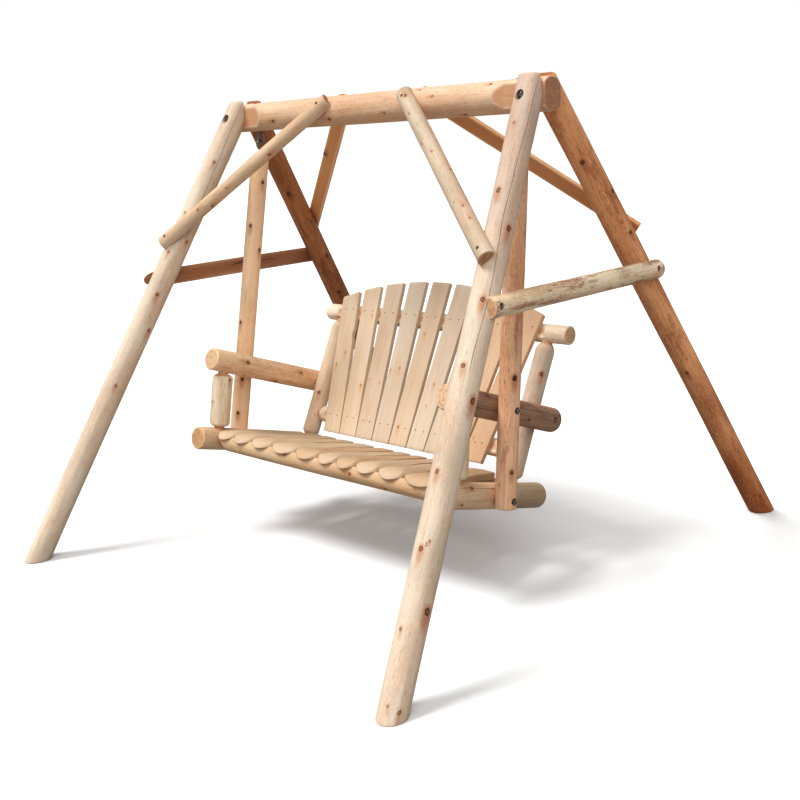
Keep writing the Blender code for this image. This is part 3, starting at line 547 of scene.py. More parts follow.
# where the legs leave the beam and how they spread, and where the braces lie on beam and legs
LEG_R, LEG_X, LEG_Y, LEG_SPLAY_X, LEG_SPLAY_Y = 0.048, 0.805, 0.0568, 0.142857, 0.6024
LEG_OUT = np.array([0.0, 0.8566, 0.5160])
BRACE_X, BRACE_LEG_Z, BRACE_TURN, BRACE_LIFT, BRACE_PAST = 0.24, 1.243, math.radians(16.0), 0.003, 0.038


def leg_point(side, end, z):
    """Point of a leg's axis at a height: it leaves the beam at its seat and spreads by a fixed slope each way."""
    return np.array([side * (LEG_X + LEG_SPLAY_X * (BEAM_Z - z)), end * (LEG_Y + LEG_SPLAY_Y * (BEAM_Z - z)), z])


brace_sets = []
for side_name, side in SIDES:
    for end_name, end in ENDS:
        beam_out = np.array([0.0, end * math.cos(BRACE_TURN), math.sin(BRACE_TURN)])
        leg_side = LEG_OUT * (1.0, end, 1.0)
        high = np.array([side * BRACE_X, 0.0, BEAM_Z]) + beam_out * BEAM_R
        low = leg_point(side, end, BRACE_LEG_Z) + leg_side * LEG_R
        along = unit(low - high)
        out = (beam_out + leg_side) / 2
        out = unit(out - along * (out @ along))
        brace_sets.append(SimpleNamespace(name=end_name + "_" + side_name, side=side, end=end, high=high, low=low,
                                          along=along, out=out, wide=np.cross(out, along),
                                          start=high + out * BRACE_LIFT - along * BRACE_PAST,
                                          length=np.linalg.norm(low - high) + 2 * BRACE_PAST))


def seat_brace(log, brace):
    """Flat planed on a log where a brace's flat side lies on it, a little wider than the brace."""
    rel = log.points - brace.start
    ahead = rel @ brace.along
    zone = (np.abs(rel @ brace.wide) < 0.0345) & (ahead > -0.003) & (ahead < brace.length + 0.003)
    shave(log, brace.start - brace.out * (BRACE_LIFT + 0.0003), brace.out, zone)


beam_wood = log_wood("beam_wood", BEAM_R, (227, 195, 163), (216, 175, 138), (192, 142, 106), (204, 146, 102),
                     (196, 142, 106), (138, 92, 64), bark=0.15, sapwood=0.92)
beam = rough_log((-BEAM_HALF, 0.0, BEAM_Z), (BEAM_HALF, 0.0, BEAM_Z), BEAM_R, UP, 11,
                 sawn_end(BEAM_R, 0.007), sawn_end(BEAM_R, 0.007), more=9, wedge=0.42,
                 fine=(BEAM_HALF - EYE_X, BEAM_HALF + EYE_X),
                 knots=((1.222, 1.18, 0.005), (1.484, 0.67, 0.006), (1.357, 2.61, 0.006), (0.972, 1.97, 0.005),
                        (0.311, 1.97, 0.007), (0.657, 2.14, 0.007)))
flat_y = np.interp(np.abs(beam.points[..., 0]), (FLAT_FROM, FLAT_FULL), (BEAM_R + 0.004, BEAM_FLAT))
keep = np.minimum(1.0, flat_y / np.maximum(np.abs(beam.points[..., 1]), 1e-9))
beam.points = beam.centre + (beam.points - beam.centre) * keep[..., None]
for brace in brace_sets:
    seat_brace(beam, brace)
for _, side in SIDES:
    bore(beam, np.array([side * EYE_X, 0.0, BEAM_Z + BEAM_R - NUT_BORE_DEEP]), UP, NUT_BORE_R)
finish_log(beam, "top_beam", beam_wood, "stand", "frame_log")

# Legs: four peeled logs, 96 mm through and 2.12 m long, splayed both ways; feet and tops sawn level, tops
# sawn plumb against the beam's flats and counterbored for the through-bolts.
LEG_TOP, LEG_CUT, BOLT_BORE_R, BOLT_BORE_Y = 1.82, 0.0413, 0.018, 0.090
front_leg_tones = ((224, 207, 184), (214, 185, 158), (192, 159, 130), (206, 150, 106), (206, 166, 128),
                   (160, 112, 80))
leg_woods = {
    (-1, -1): log_wood("front_left_leg_wood", LEG_R, *front_leg_tones, bark=0.22, knot_dark=0.3),
    (1, -1): log_wood("front_right_leg_wood", LEG_R, *front_leg_tones, bark=0.22, knot_dark=0.3,
                      toned_stretch=(22, 1.15, 2.05, (0.82, 0.74, 0.75, 1.0))),
    # painted shade: the rear legs' woods are darker and more orange than the front legs', because their sides toward
    # the front face down into shade; the rear right leg also darkens over a stretch toward its foot
    (-1, 1): log_wood("rear_left_leg_wood", LEG_R, (190, 123, 74), (152, 85, 45), (94, 48, 23), (176, 112, 68),
                      (190, 140, 98), (130, 84, 56), bark=0.5, stain=(122, 66, 40), heart=(52, 28, 18)),
    (1, 1): log_wood("rear_right_leg_wood", LEG_R, (237, 169, 114), (204, 126, 77), (138, 74, 41), (186, 120, 74),
                     (190, 140, 98), (130, 84, 56), bark=0.5, stain=(146, 78, 44), heart=(58, 32, 20),
                     toned_stretch=(24, 0.66, 0.20, (0.67, 0.52, 0.37, 1.0))),
}
leg_marks = {
    (1, -1): dict(knots=((1.925, 0.15, 0.005), (1.679, 0.09, 0.008), (1.557, 1.43, 0.009), (1.300, 0.68, 0.008),
                         (1.077, 0.37, 0.007), (0.975, 1.54, 0.010), (0.734, 0.17, 0.007), (0.495, 0.24, 0.008),
                         (0.318, 1.54, 0.010), (0.052, 0.36, 0.004), (0.036, 1.14, 0.006), (0.521, 0.69, 0.004)),
                  check=((2.091, 1.18), (2.016, 1.13), (1.922, 1.10), (1.829, 0.99), (1.684, 0.91), (1.594, 0.85),
                         (1.507, 0.92), (1.390, 1.05), (1.330, 1.06), (1.200, 0.95), (1.116, 0.85), (1.067, 0.87))),
    (-1, -1): dict(knots=((1.837, 0.85, 0.006), (1.591, 0.25, 0.005), (1.478, 1.53, 0.006), (1.221, 1.03, 0.007),
                          (1.069, 1.70, 0.007), (0.799, 0.96, 0.006)),
                   check=((2.08, 1.00), (1.90, 1.10), (1.70, 1.20), (1.50, 1.24))),
    (1, 1): dict(knots=((1.799, -2.61, 0.008), (1.639, -1.45, 0.007), (1.466, -1.72, 0.007))),
    (-1, 1): dict(knots=((1.679, -2.38, 0.008), (1.296, -1.55, 0.008), (1.084, -2.01, 0.008))),
}
for side_name, side in SIDES:
    for end_name, end in ENDS:
        foot, top = leg_point(side, end, 0.0), leg_point(side, end, LEG_TOP)
        bolt_at = np.linalg.norm(leg_point(side, end, BEAM_Z - 0.010) - foot)
        leg = rough_log(foot, top, LEG_R, (0.0, end, 0.0), 20 + 3 * side + end, sawn_end(LEG_R, 0.005),
                        sawn_end(LEG_R, 0.009), more=6, fine=(bolt_at,), wedge=0.46, level_ends=True,
                        **leg_marks[side, end])
        shift = np.maximum(0.0, LEG_CUT + 0.015 - end * leg.centre[..., 1])
        leg.centre = leg.centre + np.array([0.0, end, 0.0]) * shift[..., None]
        shave(leg, np.array([0.0, end * LEG_CUT, 0.0]), np.array([0.0, -float(end), 0.0]))
        for brace in brace_sets:
            if (brace.side, brace.end) == (side, end):
                seat_brace(leg, brace)
        bore(leg, np.array([side * LEG_X, end * BOLT_BORE_Y, BEAM_Z]), (0.0, end, 0.0), BOLT_BORE_R)
        finish_log(leg, "leg_" + end_name + "_" + side_name, leg_woods[side, end], "stand", "frame_log")

# Leg bolts: zinc-plated hex bolts right through both leg tops and the beam, washer and head in the front
# counterbore, washer and nut in the rear one.
LEG_BOLT_R, LEG_BOLT_LONG = 0.006, 0.1971
WASHER, HEAD_GAP, THREAD_PITCH, THREAD_DEEP, THREAD_STEP = 0.0025, 0.0003, 0.00175, 0.0009, 0.00044


def speckle(tree, scale, detail):
    """Even noise over an object."""
    spot = add(tree, "ShaderNodeTexCoord").outputs["Object"]
    return add(tree, "ShaderNodeTexNoise", {"Vector": spot, "Scale": scale, "Detail": detail}).outputs["Fac"]


plated_steel, tree, shader = finish("plated_steel")
dull, rust = speckle(tree, 260.0, 3.0), speckle(tree, 70.0, 5.0)
tone = tinted(tree, ranged(tree, dull, 0.35, 0.7), paint(150, 148, 142), paint(66, 64, 62))
tone = wash(tree, tone, ranged(tree, rust, 0.60, 0.74, 0.0, 0.5), (104, 74, 54))
plug(tree, shader, {"Base Color": tone, "Roughness": ranged(tree, dull, 0.3, 0.7, 0.20, 0.40), "Metallic": 1.0,
                    "Normal": dented(tree, dull, 0.2, 0.0004)})


def turned_steel(rows, cols=48):
    """Spun outline: rows of (radius, height, hex share, thread share), from the low pole to the high one; shares
    left out are nought.

    A hex row's radius is the flat's distance over the cosine of the angle from the flat's middle. A thread cuts a
    helical triangle wave into the radius.
    """
    table = np.array([(*row, 0.0, 0.0)[:4] for row in rows], float)
    around = np.linspace(0.0, 2 * math.pi, cols, endpoint=False)[None, :]
    radius, height, hexed, thread = (table[:, [k]] for k in range(4))
    side = (around % (math.pi / 3)) - math.pi / 6
    reach = radius * (1.0 - hexed + hexed * math.cos(math.pi / 6) / np.cos(side))
    phase = (height / THREAD_PITCH - around / (2 * math.pi)) % 1.0
    reach = reach - thread * THREAD_DEEP * np.abs(2.0 * phase - 1.0)
    return np.stack([reach * np.cos(around), reach * np.sin(around), height + 0.0 * around], -1)


def along_line(shell, origin, direction):
    """A shell drawn about +Z, set at an origin with +Z along a direction."""
    points, faces = shell
    z = unit(direction)
    x = unit(np.cross((0.0, 1.0, 0.0) if abs(z[1]) < 0.9 else (1.0, 0.0, 0.0), z))
    return np.asarray(origin) + points @ np.array([x, np.cross(z, x), z]), faces


def hex_bolt(radius, length, tip=0.001, thread=0.03):
    """Bolt with washer: shank up +Z from the washer's face at zero, threaded near its tip, hex head below."""
    corner, head = 1.75 * radius, 1.25 * radius
    base = -WASHER - head
    rows = [(corner * 0.40, base), (corner * 0.82, base), (corner * 0.97, base + 0.0010, 0.75),
            (corner, base + 0.0018, 1), (corner, -WASHER, 1), (corner * 1.02, -WASHER),
            (2.2 * radius, -WASHER), (2.3 * radius, -0.0021), (2.3 * radius, -0.0004),
            (2.2 * radius, 0.0), (radius, 0.0), (radius, length - thread)]
    rows += [(radius, z, 0, 1) for z in np.arange(length - thread + 0.0004, length - tip, THREAD_STEP)]
    rows += [(radius - tip / 2, length)]
    return capped(turned_steel(rows), (0.0, 0.0, base), (0.0, 0.0, length))


def ringed(grid):
    """Points and faces of a grid closed both ways."""
    rows, cols = grid.shape[:2]
    here = np.arange(rows * cols).reshape(rows, cols)
    beside, above = np.roll(here, -1, axis=1), np.roll(here, -1, axis=0)
    corner = np.roll(above, -1, axis=1)
    return grid.reshape(-1, 3), np.stack([here, beside, corner, above], -1).reshape(-1, 4).tolist()


def hex_nut(radius):
    """Nut on its washer, seated at zero: out along the washer, up the hex and in over the bevelled top."""
    corner, top = 1.75 * radius, WASHER + 1.6 * radius
    rows = [(radius * 1.05, 0.0), (2.2 * radius, 0.0), (2.3 * radius, 0.0004),
            (2.3 * radius, 0.0021), (2.2 * radius, WASHER), (corner * 1.02, WASHER),
            (corner, 0.0026, 1), (corner, top - 0.0014, 1), (corner * 0.97, top - 0.0006, 0.75),
            (corner * 0.84, top), (radius * 1.05, top), (radius * 1.05, 0.0012)]
    return ringed(turned_steel(rows))


def joined(*shells):
    """Several shells as one list of points and one of faces."""
    points, faces, count = [], [], 0
    for shell, sides in shells:
        points.append(shell)
        faces += [[index + count for index in side] for side in sides]
        count += len(shell)
    return np.vstack(points), faces


def steel_piece(name, shell, body, solid=True, steel=plated_steel):
    """A shell of steel, standing for the solid of its name if there is one."""
    make_piece(name, *shell, steel, body, "zinc_steel", (name,) if solid else (), crease=30.0)


for side_name, side in SIDES:
    seat = np.array([side * LEG_X, -BOLT_BORE_Y - HEAD_GAP, BEAM_Z])
    bolt = along_line(hex_bolt(LEG_BOLT_R, LEG_BOLT_LONG), seat, (0.0, 1.0, 0.0))
    nut = along_line(hex_nut(LEG_BOLT_R), seat * (1.0, -1.0, 1.0), (0.0, 1.0, 0.0))
    steel_piece("leg_bolt_" + side_name, bolt, "stand")
    steel_piece("leg_nut_" + side_name, nut, "stand")

# Knee braces: four half-logs, 65 mm across, from the beam to each leg, flat side in, sawn square; a plated lag
# screw near each end, its head sunk in a small bore.
BRACE_R, BRACE_SEAM, BRACE_BORE_R, BRACE_BORE_DEEP = 0.0325, 1.662, 0.0068, 0.011
BRACE_SCREW_R, BRACE_SCREW_LONG = 0.0029, 0.07
brace_woods = {
    (-1, -1): log_wood("left_brace_wood", BRACE_R, (217, 192, 162), (207, 170, 135), (187, 145, 106), (198, 134, 84),
                       (196, 146, 100), (140, 90, 58), bark=0.2),
    (1, -1): log_wood("right_brace_wood", BRACE_R, (203, 184, 160), (192, 162, 133), (174, 138, 104), (198, 134, 84),
                      (196, 146, 100), (140, 90, 58), bark=0.2),
    # painted shade: the rear braces' woods are warmer and more orange than the front braces', for their flat sides
    # lie in warm shade
    (-1, 1): log_wood("rear_left_brace_wood", BRACE_R, (252, 216, 166), (244, 180, 122), (212, 139, 84),
                      (226, 154, 95), (194, 142, 96), (134, 84, 52), bark=0.35, stain=(160, 94, 56)),
    (1, 1): log_wood("rear_right_brace_wood", BRACE_R, (241, 199, 151), (224, 160, 106), (189, 122, 73),
                     (208, 136, 82), (194, 142, 96), (134, 84, 52), bark=0.35, stain=(146, 84, 50)),
}
brace_knots = {"front_left": ((0.719, -0.39, 0.005), (0.557, -0.71, 0.004), (0.321, -1.09, 0.006)),
               "front_right": ((0.152, 0.13, 0.004), (0.330, 0.40, 0.004), (0.401, -0.27, 0.0045),
                               (0.520, -1.20, 0.004), (0.665, 1.13, 0.004), (0.784, -0.70, 0.0045))}


def lag_screw(radius, length):
    """Hex lag screw: flanged head below zero with a bevelled top, threaded shank up +Z to a blunt point."""
    corner, base = 1.65 * radius, -1.1 * radius
    rows = [(corner * 0.35, base), (corner * 0.80, base), (corner * 0.97, base + 0.0008, 0.75),
            (corner, base + 0.0015, 1), (corner, -0.0012, 1), (corner * 1.12, -0.0011),
            (corner * 1.12, 0.0), (radius, 0.0), (radius, length * 0.5)]
    rows += [(radius, z, 0, 1) for z in np.arange(length * 0.5, length - 0.008, 0.0006)]
    rows += [(radius * 0.3, length)]
    return capped(turned_steel(rows, 36), (0.0, 0.0, base), (0.0, 0.0, length))


screws = []
for number, brace in enumerate(brace_sets):
    log = rough_log(brace.start, brace.start + brace.along * brace.length, BRACE_R, brace.out, 31 + number,
                    sawn_end(BRACE_R, 0.003), sawn_end(BRACE_R, 0.003), more=5, knots=brace_knots.get(brace.name, ()),
                    fine=(BRACE_PAST, brace.length - BRACE_PAST), wedge=0.40, seams=(-BRACE_SEAM, BRACE_SEAM))
    shave(log, brace.start - brace.out * BRACE_LIFT, -brace.out)
    for spot in (brace.high, brace.low):
        seat = spot + brace.out * (BRACE_LIFT + BRACE_R - BRACE_BORE_DEEP)
        bore(log, seat, brace.out, BRACE_BORE_R)
        screws.append(along_line(lag_screw(BRACE_SCREW_R, BRACE_SCREW_LONG), seat + brace.out * HEAD_GAP,
                                 -brace.out))
    finish_log(log, "brace_" + brace.name, brace_woods[brace.side, brace.end], "stand", "frame_log")
steel_piece("brace_screws", joined(*screws), "stand", solid=False)

# Side bars: two half-logs, 72 mm across and a metre long, flat side against the outside of each pair of legs,
# one end sawn square and the other rounded; a lag screw into each leg.
BAR_R, BAR_Z, BAR_LONG, BAR_BACK, BAR_LEG_Y = 0.036, 1.095, 0.988, 0.478, 0.45137
BAR_LIFT, BAR_SEAM, BAR_FLOOR, LAG_BORE_R, LAG_R, BAR_SCREW_LONG = 0.001, 1.5986, 0.0715, 0.0125, 0.0048, 0.085
bar_domes = {-1: 0.10, 1: 0.03}
bar_woods = {
    # painted shade: the left bar's wood is darker and more orange than the right bar's, for its side toward the front
    # lies in shade
    -1: log_wood("left_bar_wood", BAR_R, (207, 163, 125), (169, 112, 75), (129, 80, 52), (158, 96, 60),
                 (180, 128, 88), (124, 80, 54), bark=0.5, stain=(116, 66, 42), heart=(60, 34, 22)),
    1: log_wood("right_bar_wood", BAR_R, (248, 230, 197), (232, 200, 160), (178, 132, 97), (206, 144, 92),
                (222, 176, 130), (184, 130, 88), bark=0.7, stain=(152, 92, 64)),
}
screws = []
for side_name, side in SIDES:
    out = unit((side, 0.0, LEG_SPLAY_X))
    seat = leg_point(side, 1, BAR_Z) * (1.0, 0.0, 1.0) + out * (LEG_R + 0.0003)
    start = seat + out * BAR_LIFT - np.array([0.0, side * BAR_BACK, 0.0])
    bar = rough_log(start, start + np.array([0.0, side * BAR_LONG, 0.0]), BAR_R, out, 41 + side,
                    sawn_end(BAR_R, 0.003), domed_end(BAR_R, bar_domes[side]), more=7, wedge=0.45,
                    fine=[BAR_BACK + side * end * BAR_LEG_Y for end in (-1, 1)], seams=(-BAR_SEAM, BAR_SEAM))
    shave(bar, start - out * BAR_LIFT, -out)
    for end in (-1, 1):
        floor = leg_point(side, end, BAR_Z) + out * BAR_FLOOR
        bore(bar, floor, out, LAG_BORE_R)
        screws.append(along_line(lag_screw(LAG_R, BAR_SCREW_LONG), floor + out * HEAD_GAP, -out))
    finish_log(bar, "side_bar_" + side_name, bar_woods[side], "stand", "frame_log")
steel_piece("bar_screws", joined(*screws), "stand", solid=False)

# Eye bolts: forged plated eyes of 10 mm rod, one down through the beam under a washered nut, one screwed into
# the top of each hanger; the hanger's eye hangs in the beam's eye and rocks there.
EYE_R, ROD_R, PIVOT_Z, EYE_NUT_Z, HANGER_EYE_Z = 0.020, 0.005, 1.645, 1.7923, -0.0097
BEAM_EYE_LONG, HANGER_EYE_LONG = 0.1438, 0.120
BENCH_LEAN = math.radians(-10.0)


def eye_bolt(shank):
    """A ring in the XZ plane round the origin, and a threaded shank up +Z from its crown with a flared neck."""
    swept = np.linspace(0.0, 2 * math.pi, 56, endpoint=False)[:, None]
    round_rod = np.linspace(0.0, 2 * math.pi, 20, endpoint=False)[None, :]
    out = EYE_R + ROD_R * np.cos(round_rod)
    ring = np.stack([out * np.sin(swept), ROD_R * np.sin(round_rod) + 0.0 * swept, out * np.cos(swept)], -1)
    rows = [(ROD_R * 0.5, EYE_R), (ROD_R * 1.25, EYE_R + 0.001), (ROD_R * 1.12, EYE_R + 0.005),
            (ROD_R, EYE_R + 0.009), (ROD_R, shank - 0.045)]
    rows += [(ROD_R, z, 0, 1) for z in np.arange(shank - 0.0446, shank - 0.001, THREAD_STEP)]
    rows += [(ROD_R - 0.0006, shank)]
    return joined(ringed(ring), capped(turned_steel(rows, 24), (0.0, 0.0, EYE_R), (0.0, 0.0, shank)))


def hung(points):
    """Points of the bench, drawn about the swing axis, turned by its ten degrees and lifted to it."""
    x, y, z = np.moveaxis(np.asarray(points, float), -1, 0)
    return np.stack([x, y * math.cos(BENCH_LEAN) - z * math.sin(BENCH_LEAN),
                     y * math.sin(BENCH_LEAN) + z * math.cos(BENCH_LEAN) + PIVOT_Z], -1)


for side_name, side in SIDES:
    x = side * EYE_X
    steel_piece("beam_eye_" + side_name, along_line(eye_bolt(BEAM_EYE_LONG), (x, 0.0, PIVOT_Z + EYE_R), UP), "stand")
    steel_piece("eye_nut_" + side_name, along_line(hex_nut(ROD_R), (x, 0.0, EYE_NUT_Z), UP), "stand")
    points, faces = eye_bolt(HANGER_EYE_LONG)
    points = np.stack([points[:, 1], points[:, 0], -points[:, 2]], -1) + (x, 0.0, HANGER_EYE_Z)
    steel_piece("hanger_eye_" + side_name, (hung(points), faces), "swing")

# Hangers: two peeled logs, 77 mm through and 1.28 m long, ends eased, standing against the outside of the arms
# and side rails; a lag bolt through each into the arm and another into the rail, heads in spot faces.
HANGER_R, HANGER_LOW, HANGER_HIGH, HANGER_END = 0.0385, -1.335, -0.060, 0.008
HANGER_X, HANGER_SPLAY, HANGER_BOLT_R, HANGER_BOLT_LONG = 0.7583, 0.0483, 0.005, 0.125
ARM_Z, RAIL_Z = -0.97798, -1.29895
SPOT_FACE_R, SPOT_FACE_DEEP = 0.0135, 0.004
hanger_woods = {
    -1: log_wood("left_hanger_wood", HANGER_R, (250, 214, 175), (250, 204, 159), (235, 181, 134), (206, 150, 104),
                 (214, 168, 122), (166, 114, 76), bark=0.25, knot_dark=0.7),
    1: log_wood("right_hanger_wood", HANGER_R, (240, 192, 154), (218, 162, 118), (170, 116, 79), (200, 140, 92),
                (214, 168, 122), (166, 114, 76), bark=0.5, stain=(168, 94, 54), knot_dark=0.8),
}
hanger_knots = {1: ((0.470, -0.48, 0.009), (0.139, -0.44, 0.007)),
                -1: ((1.165, 3.04, 0.007), (0.975, 1.99, 0.007), (0.874, -2.96, 0.007), (0.552, 1.62, 0.007),
                     (0.303, 2.40, 0.007), (0.151, 2.21, 0.007))}


def hanger_point(side, z):
    """Point of a hanger's axis at a height: it leans out to clear the arm and the rail."""
    return np.array([side * (HANGER_X + HANGER_SPLAY * (ARM_Z - z)), 0.0, z])


def bench_log(log, name, wood):
    """A log of the bench, finished and hung."""
    finish_log(log, name, wood, "swing", "bench_log", hung)


def bench_screw(shell, seat, side):
    """A screw driven into the bench from one side, its head a little off its seat."""
    points, faces = along_line(shell, seat + (side * HEAD_GAP, 0.0, 0.0), (-side, 0.0, 0.0))
    return hung(points), faces


for side_name, side in SIDES:
    low, high = hanger_point(side, HANGER_LOW), hanger_point(side, HANGER_HIGH)
    log = rough_log(low, high, HANGER_R, (side, 0.0, 0.0), 51 + side, domed_end(HANGER_R, HANGER_END),
                    domed_end(HANGER_R, HANGER_END), more=4, knots=hanger_knots[side], wedge=0.5,
                    fine=[np.linalg.norm(hanger_point(side, z) - low) for z in (ARM_Z, RAIL_Z)])
    for kind, z in (("arm", ARM_Z), ("rail", RAIL_Z)):
        seat = hanger_point(side, z) + (side * (HANGER_R - SPOT_FACE_DEEP), 0.0, 0.0)
        bore(log, seat, (side, 0.0, 0.0), SPOT_FACE_R)
        bolt = bench_screw(hex_bolt(HANGER_BOLT_R, HANGER_BOLT_LONG, 0.004, 0.06), seat, side)
        steel_piece("hanger_bolt_" + kind + "_" + side_name, bolt, "swing")
    bench_log(log, "hanger_" + side_name, hanger_woods[side])

# Seat frame: side rails of 96 mm log, sawn in front and rounded behind, with the 82 mm front and rear rails
# turned down to tenons and driven into them; both cross rails are planed on top where the slats lie.
RAIL_R, RAIL_X, RAIL_FRONT, RAIL_REAR, CROSS_R = 0.048, 0.687, -0.284, 0.312, 0.041
FRONT_Y, REAR_Y, RAIL_FRONT_Z, SLABS_OVER_FRONT, SLABS_OVER_REAR = -0.1816, 0.2455, -1.2735, 0.024, 0.032
RAIL_SLOPE = math.tan(math.radians(-5.12))
side_rail_woods = {
    -1: log_wood("left_rail_wood", RAIL_R, (229, 195, 158), (206, 161, 121), (173, 130, 94), (190, 130, 86),
                 (214, 172, 126), (176, 128, 86)),
    # painted shadow of the hanger: the right rail's tone turns darker and greyer behind the hanger, and its rounded
    # rear end and turned faces get darker, greyer tones
    1: log_wood("right_rail_wood", RAIL_R, (229, 195, 158), (206, 161, 121), (173, 130, 94), (156, 122, 92),
                (160, 136, 106), (134, 108, 82), toned_stretch=(62, 0.29, 0.40, (0.63, 0.74, 0.81, 1.0))),
}
# painted shadow: the cross rails' wood is darker than the side rails', standing for the shadow the seat casts on the
# front rail
cross_rail_wood = log_wood("cross_rail_wood", CROSS_R, (216, 184, 144), (206, 164, 123), (178, 130, 90),
                           (172, 104, 68), (206, 160, 114), (160, 110, 74), bark=0.3, knot_dark=0.7)
front_rail_knots = ((0.068, 2.00, 0.006), (0.340, 2.41, 0.006), (0.484, 1.25, 0.006), (0.866, 1.60, 0.006),
                    (1.050, 2.32, 0.006))


def rail_z(y):
    """Height of the side rails' axis: they fall toward the back."""
    return RAIL_FRONT_Z + RAIL_SLOPE * (y - RAIL_FRONT)


for side_name, side in SIDES:
    log = rough_log((side * RAIL_X, RAIL_FRONT, rail_z(RAIL_FRONT)), (side * RAIL_X, RAIL_REAR, rail_z(RAIL_REAR)),
                    RAIL_R, UP, 61 + side, sawn_end(RAIL_R, 0.006), domed_end(RAIL_R, 0.03), more=4)
    bench_log(log, "side_rail_" + side_name, side_rail_woods[side])
front_spot = np.array([0.0, FRONT_Y, rail_z(FRONT_Y)])
rear_spot = np.array([0.0, REAR_Y, rail_z(REAR_Y)])
seat_origin = front_spot + (0.0, 0.0, SLABS_OVER_FRONT)
seat_along = unit(rear_spot + (0.0, 0.0, SLABS_OVER_REAR) - seat_origin)
seat_up = np.array([0.0, -seat_along[2], seat_along[1]])
tip = np.array([RAIL_X - RAIL_R + 0.031, 0.0, 0.0])
rail_end = tenoned_end(CROSS_R, 0.026, 0.051, 0.028)
for name, spot, half, seed, knots in (("front_rail", front_spot, 0.648, 72, front_rail_knots),
                                      ("rear_rail", rear_spot, 0.558, 67, ())):
    log = rough_log(spot - tip, spot + tip, CROSS_R, UP, seed, rail_end, rail_end, more=6, knots=knots)
    shave(log, seat_origin, seat_up, np.abs(log.points[..., 0]) < half)
    bench_log(log, name, cross_rail_wood)

# Arms and their posts: 95 mm logs sawn in front and rounded behind, each on a short log post with a tenon at both
# ends; a lag bolt from outside holds each arm to the back post.
ARM_R, ARM_X, ARM_FRONT, ARM_REAR, ARM_BORE_DEEP = 0.0475, 0.672, -0.242, 0.392, 0.010
ARM_POST_R, ARM_POST_Y, ARM_FRONT_Z, ARM_SCREW_LONG = 0.0425, -0.175, -0.934, 0.11
ARM_SLOPE = math.tan(math.radians(-10.3))
RECLINE = math.radians(17.0)
arm_woods = {
    -1: log_wood("left_arm_wood", ARM_R, (250, 212, 172), (233, 184, 140), (184, 133, 92), (196, 134, 86),
                 (224, 194, 154), (196, 156, 114), bark=0.35),
    # painted shade: the right arm's wood is much darker and greyer than the left's, for its side toward the front
    # right lies in shade
    1: log_wood("right_arm_wood", ARM_R, (176, 136, 108), (136, 100, 75), (75, 52, 38), (170, 116, 78),
                (228, 190, 152), (212, 170, 130), bark=0.4, stain=(116, 76, 54)),
}
arm_post_wood = log_wood("arm_post_wood", ARM_POST_R, (240, 225, 197), (225, 198, 163), (200, 163, 126),
                         (200, 138, 92), (206, 150, 104), (158, 104, 70), bark=0.15)
arm_knots = {-1: ((0.160, 2.82, 0.008), (0.348, -2.12, 0.007), (0.470, 2.71, 0.006)), 1: ((0.177, -0.82, 0.009),)}


def arm_point(side, y):
    """Point of an arm's axis: the arms fall toward the back."""
    return np.array([side * ARM_X, y, ARM_FRONT_Z + ARM_SLOPE * (y - ARM_FRONT)])


cross_y = (REAR_Y + math.tan(RECLINE) * (arm_point(1, 0.0)[2] - rear_spot[2])) / (1.0 - math.tan(RECLINE) * ARM_SLOPE)
arm_post_end = tenoned_end(ARM_POST_R, 0.021, 0.024, 0.017)
screws = []
for side_name, side in SIDES:
    front, back, crossing = (arm_point(side, y) for y in (ARM_FRONT, ARM_REAR, cross_y))
    log = rough_log(front, back, ARM_R, (side, 0.0, 0.0), 71 + side, sawn_end(ARM_R, 0.006), domed_end(ARM_R, 0.03),
                    more=3, knots=arm_knots[side], fine=(np.linalg.norm(crossing - front),), wedge=0.4)
    seat = crossing + (side * (ARM_R - ARM_BORE_DEEP), 0.0, 0.0)
    bore(log, seat, (side, 0.0, 0.0), LAG_BORE_R)
    bench_log(log, "arm_" + side_name, arm_woods[side])
    screws.append(bench_screw(lag_screw(LAG_R, ARM_SCREW_LONG), seat, side))
    foot, top = np.array([side * RAIL_X, ARM_POST_Y, rail_z(ARM_POST_Y)]), arm_point(side, ARM_POST_Y)
    rising = unit(top - foot)
    log = rough_log(foot + rising * 0.030, top - rising * 0.0295, ARM_POST_R, (side, 0.0, 0.0), 75 + side,
                    arm_post_end, arm_post_end, more=2, knots=((0.134, -1.51 * side, 0.005),), facets=0.75)
    bench_log(log, "arm_post_" + side_name, arm_post_wood)
steel_piece("arm_screws", joined(*screws), "swing", solid=False)

# Back frame: two reclined log posts, 75 mm through, tenoned into the rear rail and the top back rail, with the
# lower back rail tenoned between them; both back rails are planed in front where the slats cross.
POST_X, POST_R, TOP_RAIL_R, LOW_RAIL_R, BACK_TENON_R, BACK_FLAT = 0.5867, 0.0375, 0.0365, 0.0355, 0.021, 0.026
TOP_RAIL_UP, LOW_RAIL_UP = 0.627, 0.1532
back_post_woods = {
    -1: log_wood("left_back_post_wood", POST_R, (237, 214, 183), (225, 191, 156), (200, 157, 121), (200, 134, 88),
                 (218, 184, 146), (172, 128, 94), bark=0.2),
    # painted shade: the right back post's wood is greyer and darker than the left's, for part of it lies in shade
    1: log_wood("right_back_post_wood", POST_R, (214, 197, 177), (202, 177, 153), (180, 146, 119), (190, 128, 86),
                (218, 184, 146), (172, 128, 94), bark=0.2),
}
back_rail_wood = log_wood("back_rail_wood", TOP_RAIL_R, (246, 230, 204), (234, 207, 175), (208, 170, 137),
                          (206, 140, 94), (224, 192, 154), (178, 134, 100), bark=0.2)
back_post_knots = {-1: ((0.226, 2.08, 0.007),), 1: ((0.446, -0.64, 0.008),)}
recline = np.array([0.0, math.sin(RECLINE), math.cos(RECLINE)])
forward = np.array([0.0, -recline[2], recline[1]])
top_spot, low_spot = rear_spot + recline * TOP_RAIL_UP, rear_spot + recline * LOW_RAIL_UP
